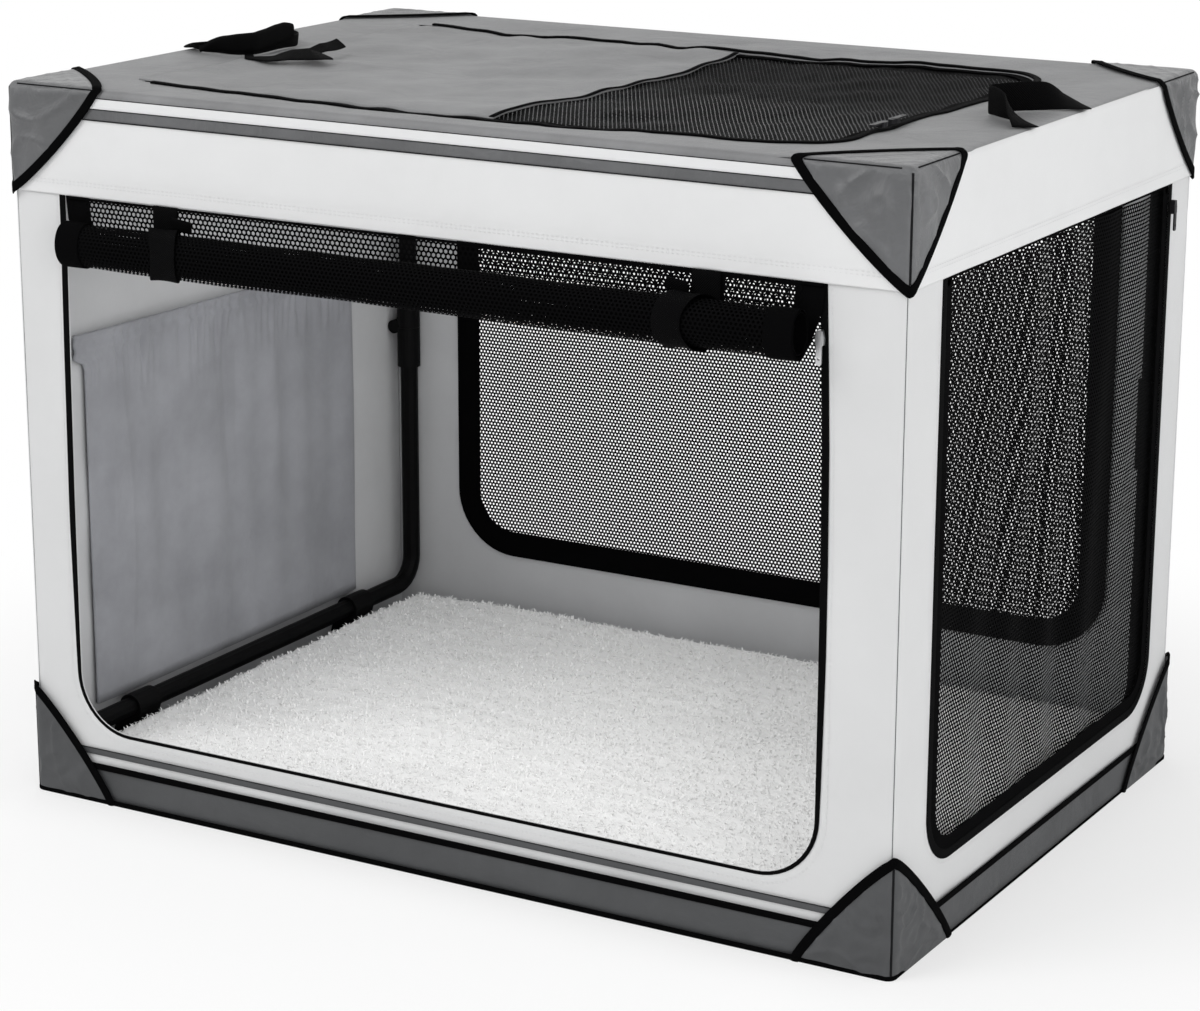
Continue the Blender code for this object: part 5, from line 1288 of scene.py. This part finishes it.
def stitches(name, path, normal, body, folds=0.0):
    """Line of sewing stitches: short raised threads, a length and a gap apart along a path. Each
    is two four-sided faces that meet at a low peak."""
    run = np.concatenate([[0], np.cumsum(np.linalg.norm(np.diff(path, axis=0), axis=1))])
    starts = np.arange(STITCH_GAP, run[-1] - STITCH_LONG, STITCH_LONG + STITCH_GAP)
    normal = np.broadcast_to(np.asarray(normal, float), path.shape)

    def at(where):
        """Point and outward direction after a run along the path."""
        spot = np.stack([np.interp(where, run, path[:, k]) for k in range(3)], -1)
        out = unit(np.stack([np.interp(where, run, normal[:, k]) for k in range(3)], -1))
        return spot, out

    first, first_out = at(starts)
    last, _ = at(starts + STITCH_LONG)
    peak, peak_out = at(starts + STITCH_LONG / 2)
    side = unit(np.cross(last - first, first_out)) * STITCH_WIDE / 2
    raised = peak + peak_out * STITCH_WIDE
    corners = np.stack([first - side, first + side, raised + side, raised - side,
                        last + side, last - side], 1)
    faces = np.arange(len(starts))[:, None, None] * 6 + np.array([[0, 1, 2, 3], [3, 2, 4, 5]])
    item = flat_pieces(name, corners, faces.reshape(-1, 4).tolist())
    settle(item, PALE_THREAD, body, "pale_cloth", folds=folds)


for label, height in HEM_STITCHES:
    line = band_loop + [0, 0, BAND_FOOT + height]
    hem = on_cover(line, LAYER)
    out = unit(on_cover(line, LAYER - 0.001) - hem)
    stitches(f"band_hem_stitches_{label}", hem + out * 0.0001, out, "roof")
for label, facing, side, opening, radii in (("front", front_plane, -1, FRONT_DOOR, FRONT_DOOR_RADII),
                                            ("side", side_plane, 1, SIDE_DOOR, SIDE_DOOR_RADII)):
    rim, out = sewn_loop(opening, radii, RIM_RUN)
    rim = np.roll(rim + out * DOORWAY_STITCH_OUT, -U_START, axis=0)[:U_COUNT]
    face = on_cover(facing(rim, side), WALL_DEPTH + 0.0001)
    stitches(f"{label}_doorway_stitches", face, face_normal(facing, side), "base", WALL_KEEP)
# Down the posts, each seam's dark grey line is painted shade of its sunk groove.
rise = np.linspace(TUB_HIGH.z + 0.002, BAND_FOOT - 0.001, 120)
for side, side_name in ((-1, "left"), (1, "right")):
    for end, end_name in ((-1, "front"), (1, "back")):
        post = np.stack([np.full_like(rise, side * HALF_X), np.full_like(rise, end * HALF_Y), rise], 1)
        line = on_cover(post, WALL_DEPTH)
        out = unit(on_cover(post, WALL_DEPTH - 0.001) - line)
        seam = tape(f"wall_seam_{side_name}_{end_name}", line, out, POST_SEAM_WIDTH, POST_SEAM_THICK,
                    lift=-POST_SEAM_SUNK)
        settle(seam, SEAM_SHADE_PAINT, "base", "pale_cloth", folds=WALL_KEEP)


# Frame. Steel tube with a black powder coat, and moulded black saddles and knees fixed on it.
# The solids are shown as they are.
def hard(name, colour, roughness, metal, grain, size):
    """Hard surface with a fine grain: noise in the roughness and in the relief."""
    made, tree, shader = new_paint(name)
    place = wire(tree, "TexCoord", {}, "Object")
    noise = wire(tree, "TexNoise", {"Vector": place, "Scale": size, "Detail": 4.0})
    rough = wire(tree, "MapRange", {"Value": noise, "To Min": roughness - 0.08, "To Max": roughness + 0.08})
    relief = wire(tree, "Bump", {"Strength": grain, "Distance": 0.0004, "Height": noise})
    fill(tree, shader, {"Base Color": (*colour, 1), "Metallic": metal, "Roughness": rough, "Normal": relief,
                        "Specular IOR Level": 0.2 if metal else 0.08})
    return made


TUBE = hard("tube_coat", (0.002, 0.002, 0.0022), 0.5, metal=0.0, grain=0.25, size=600.0)
PLASTIC = hard("black_moulding", (0.0025, 0.0025, 0.0027), 0.55, metal=0.0, grain=0.35, size=900.0)
DARK_METAL = hard("dark_slider_metal", (0.02, 0.02, 0.022), 0.4, metal=0.6, grain=0.2, size=700.0)
for word, paint in (("ring", TUBE), ("_frame", TUBE), ("saddle", PLASTIC), ("knee", PLASTIC),
                    ("tongue", PLASTIC), ("roof_zip_slider", DARK_METAL)):
    for label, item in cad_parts.items():
        if word in label:
            item.data.materials.clear()
            item.data.materials.append(paint)


# Zip sliders. The front one is bright metal and the others are dark. The two roof ones are shown
# as they are, above. The front one's copy is moved to where its zip leans.
FRONT_SLIDER_SHIFT = (-0.0095, 0, -0.004)
SILVER = hard("slider_metal", (0.62, 0.62, 0.63), 0.32, metal=1.0, grain=0.15, size=700.0)
for label, body, paint, shift in (("front_zip_slider", "front_slider", SILVER, FRONT_SLIDER_SHIFT),
                                  ("side_zip_slider", "side_slider", DARK_METAL, (0, 0, 0))):
    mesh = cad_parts[label].data.copy()
    mesh.transform(Matrix.Translation(shift))
    mesh.materials.clear()
    settle(placed(label + "_metal", mesh), paint, body, "slider_metal", label, folds=WALL_KEEP)


low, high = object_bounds()
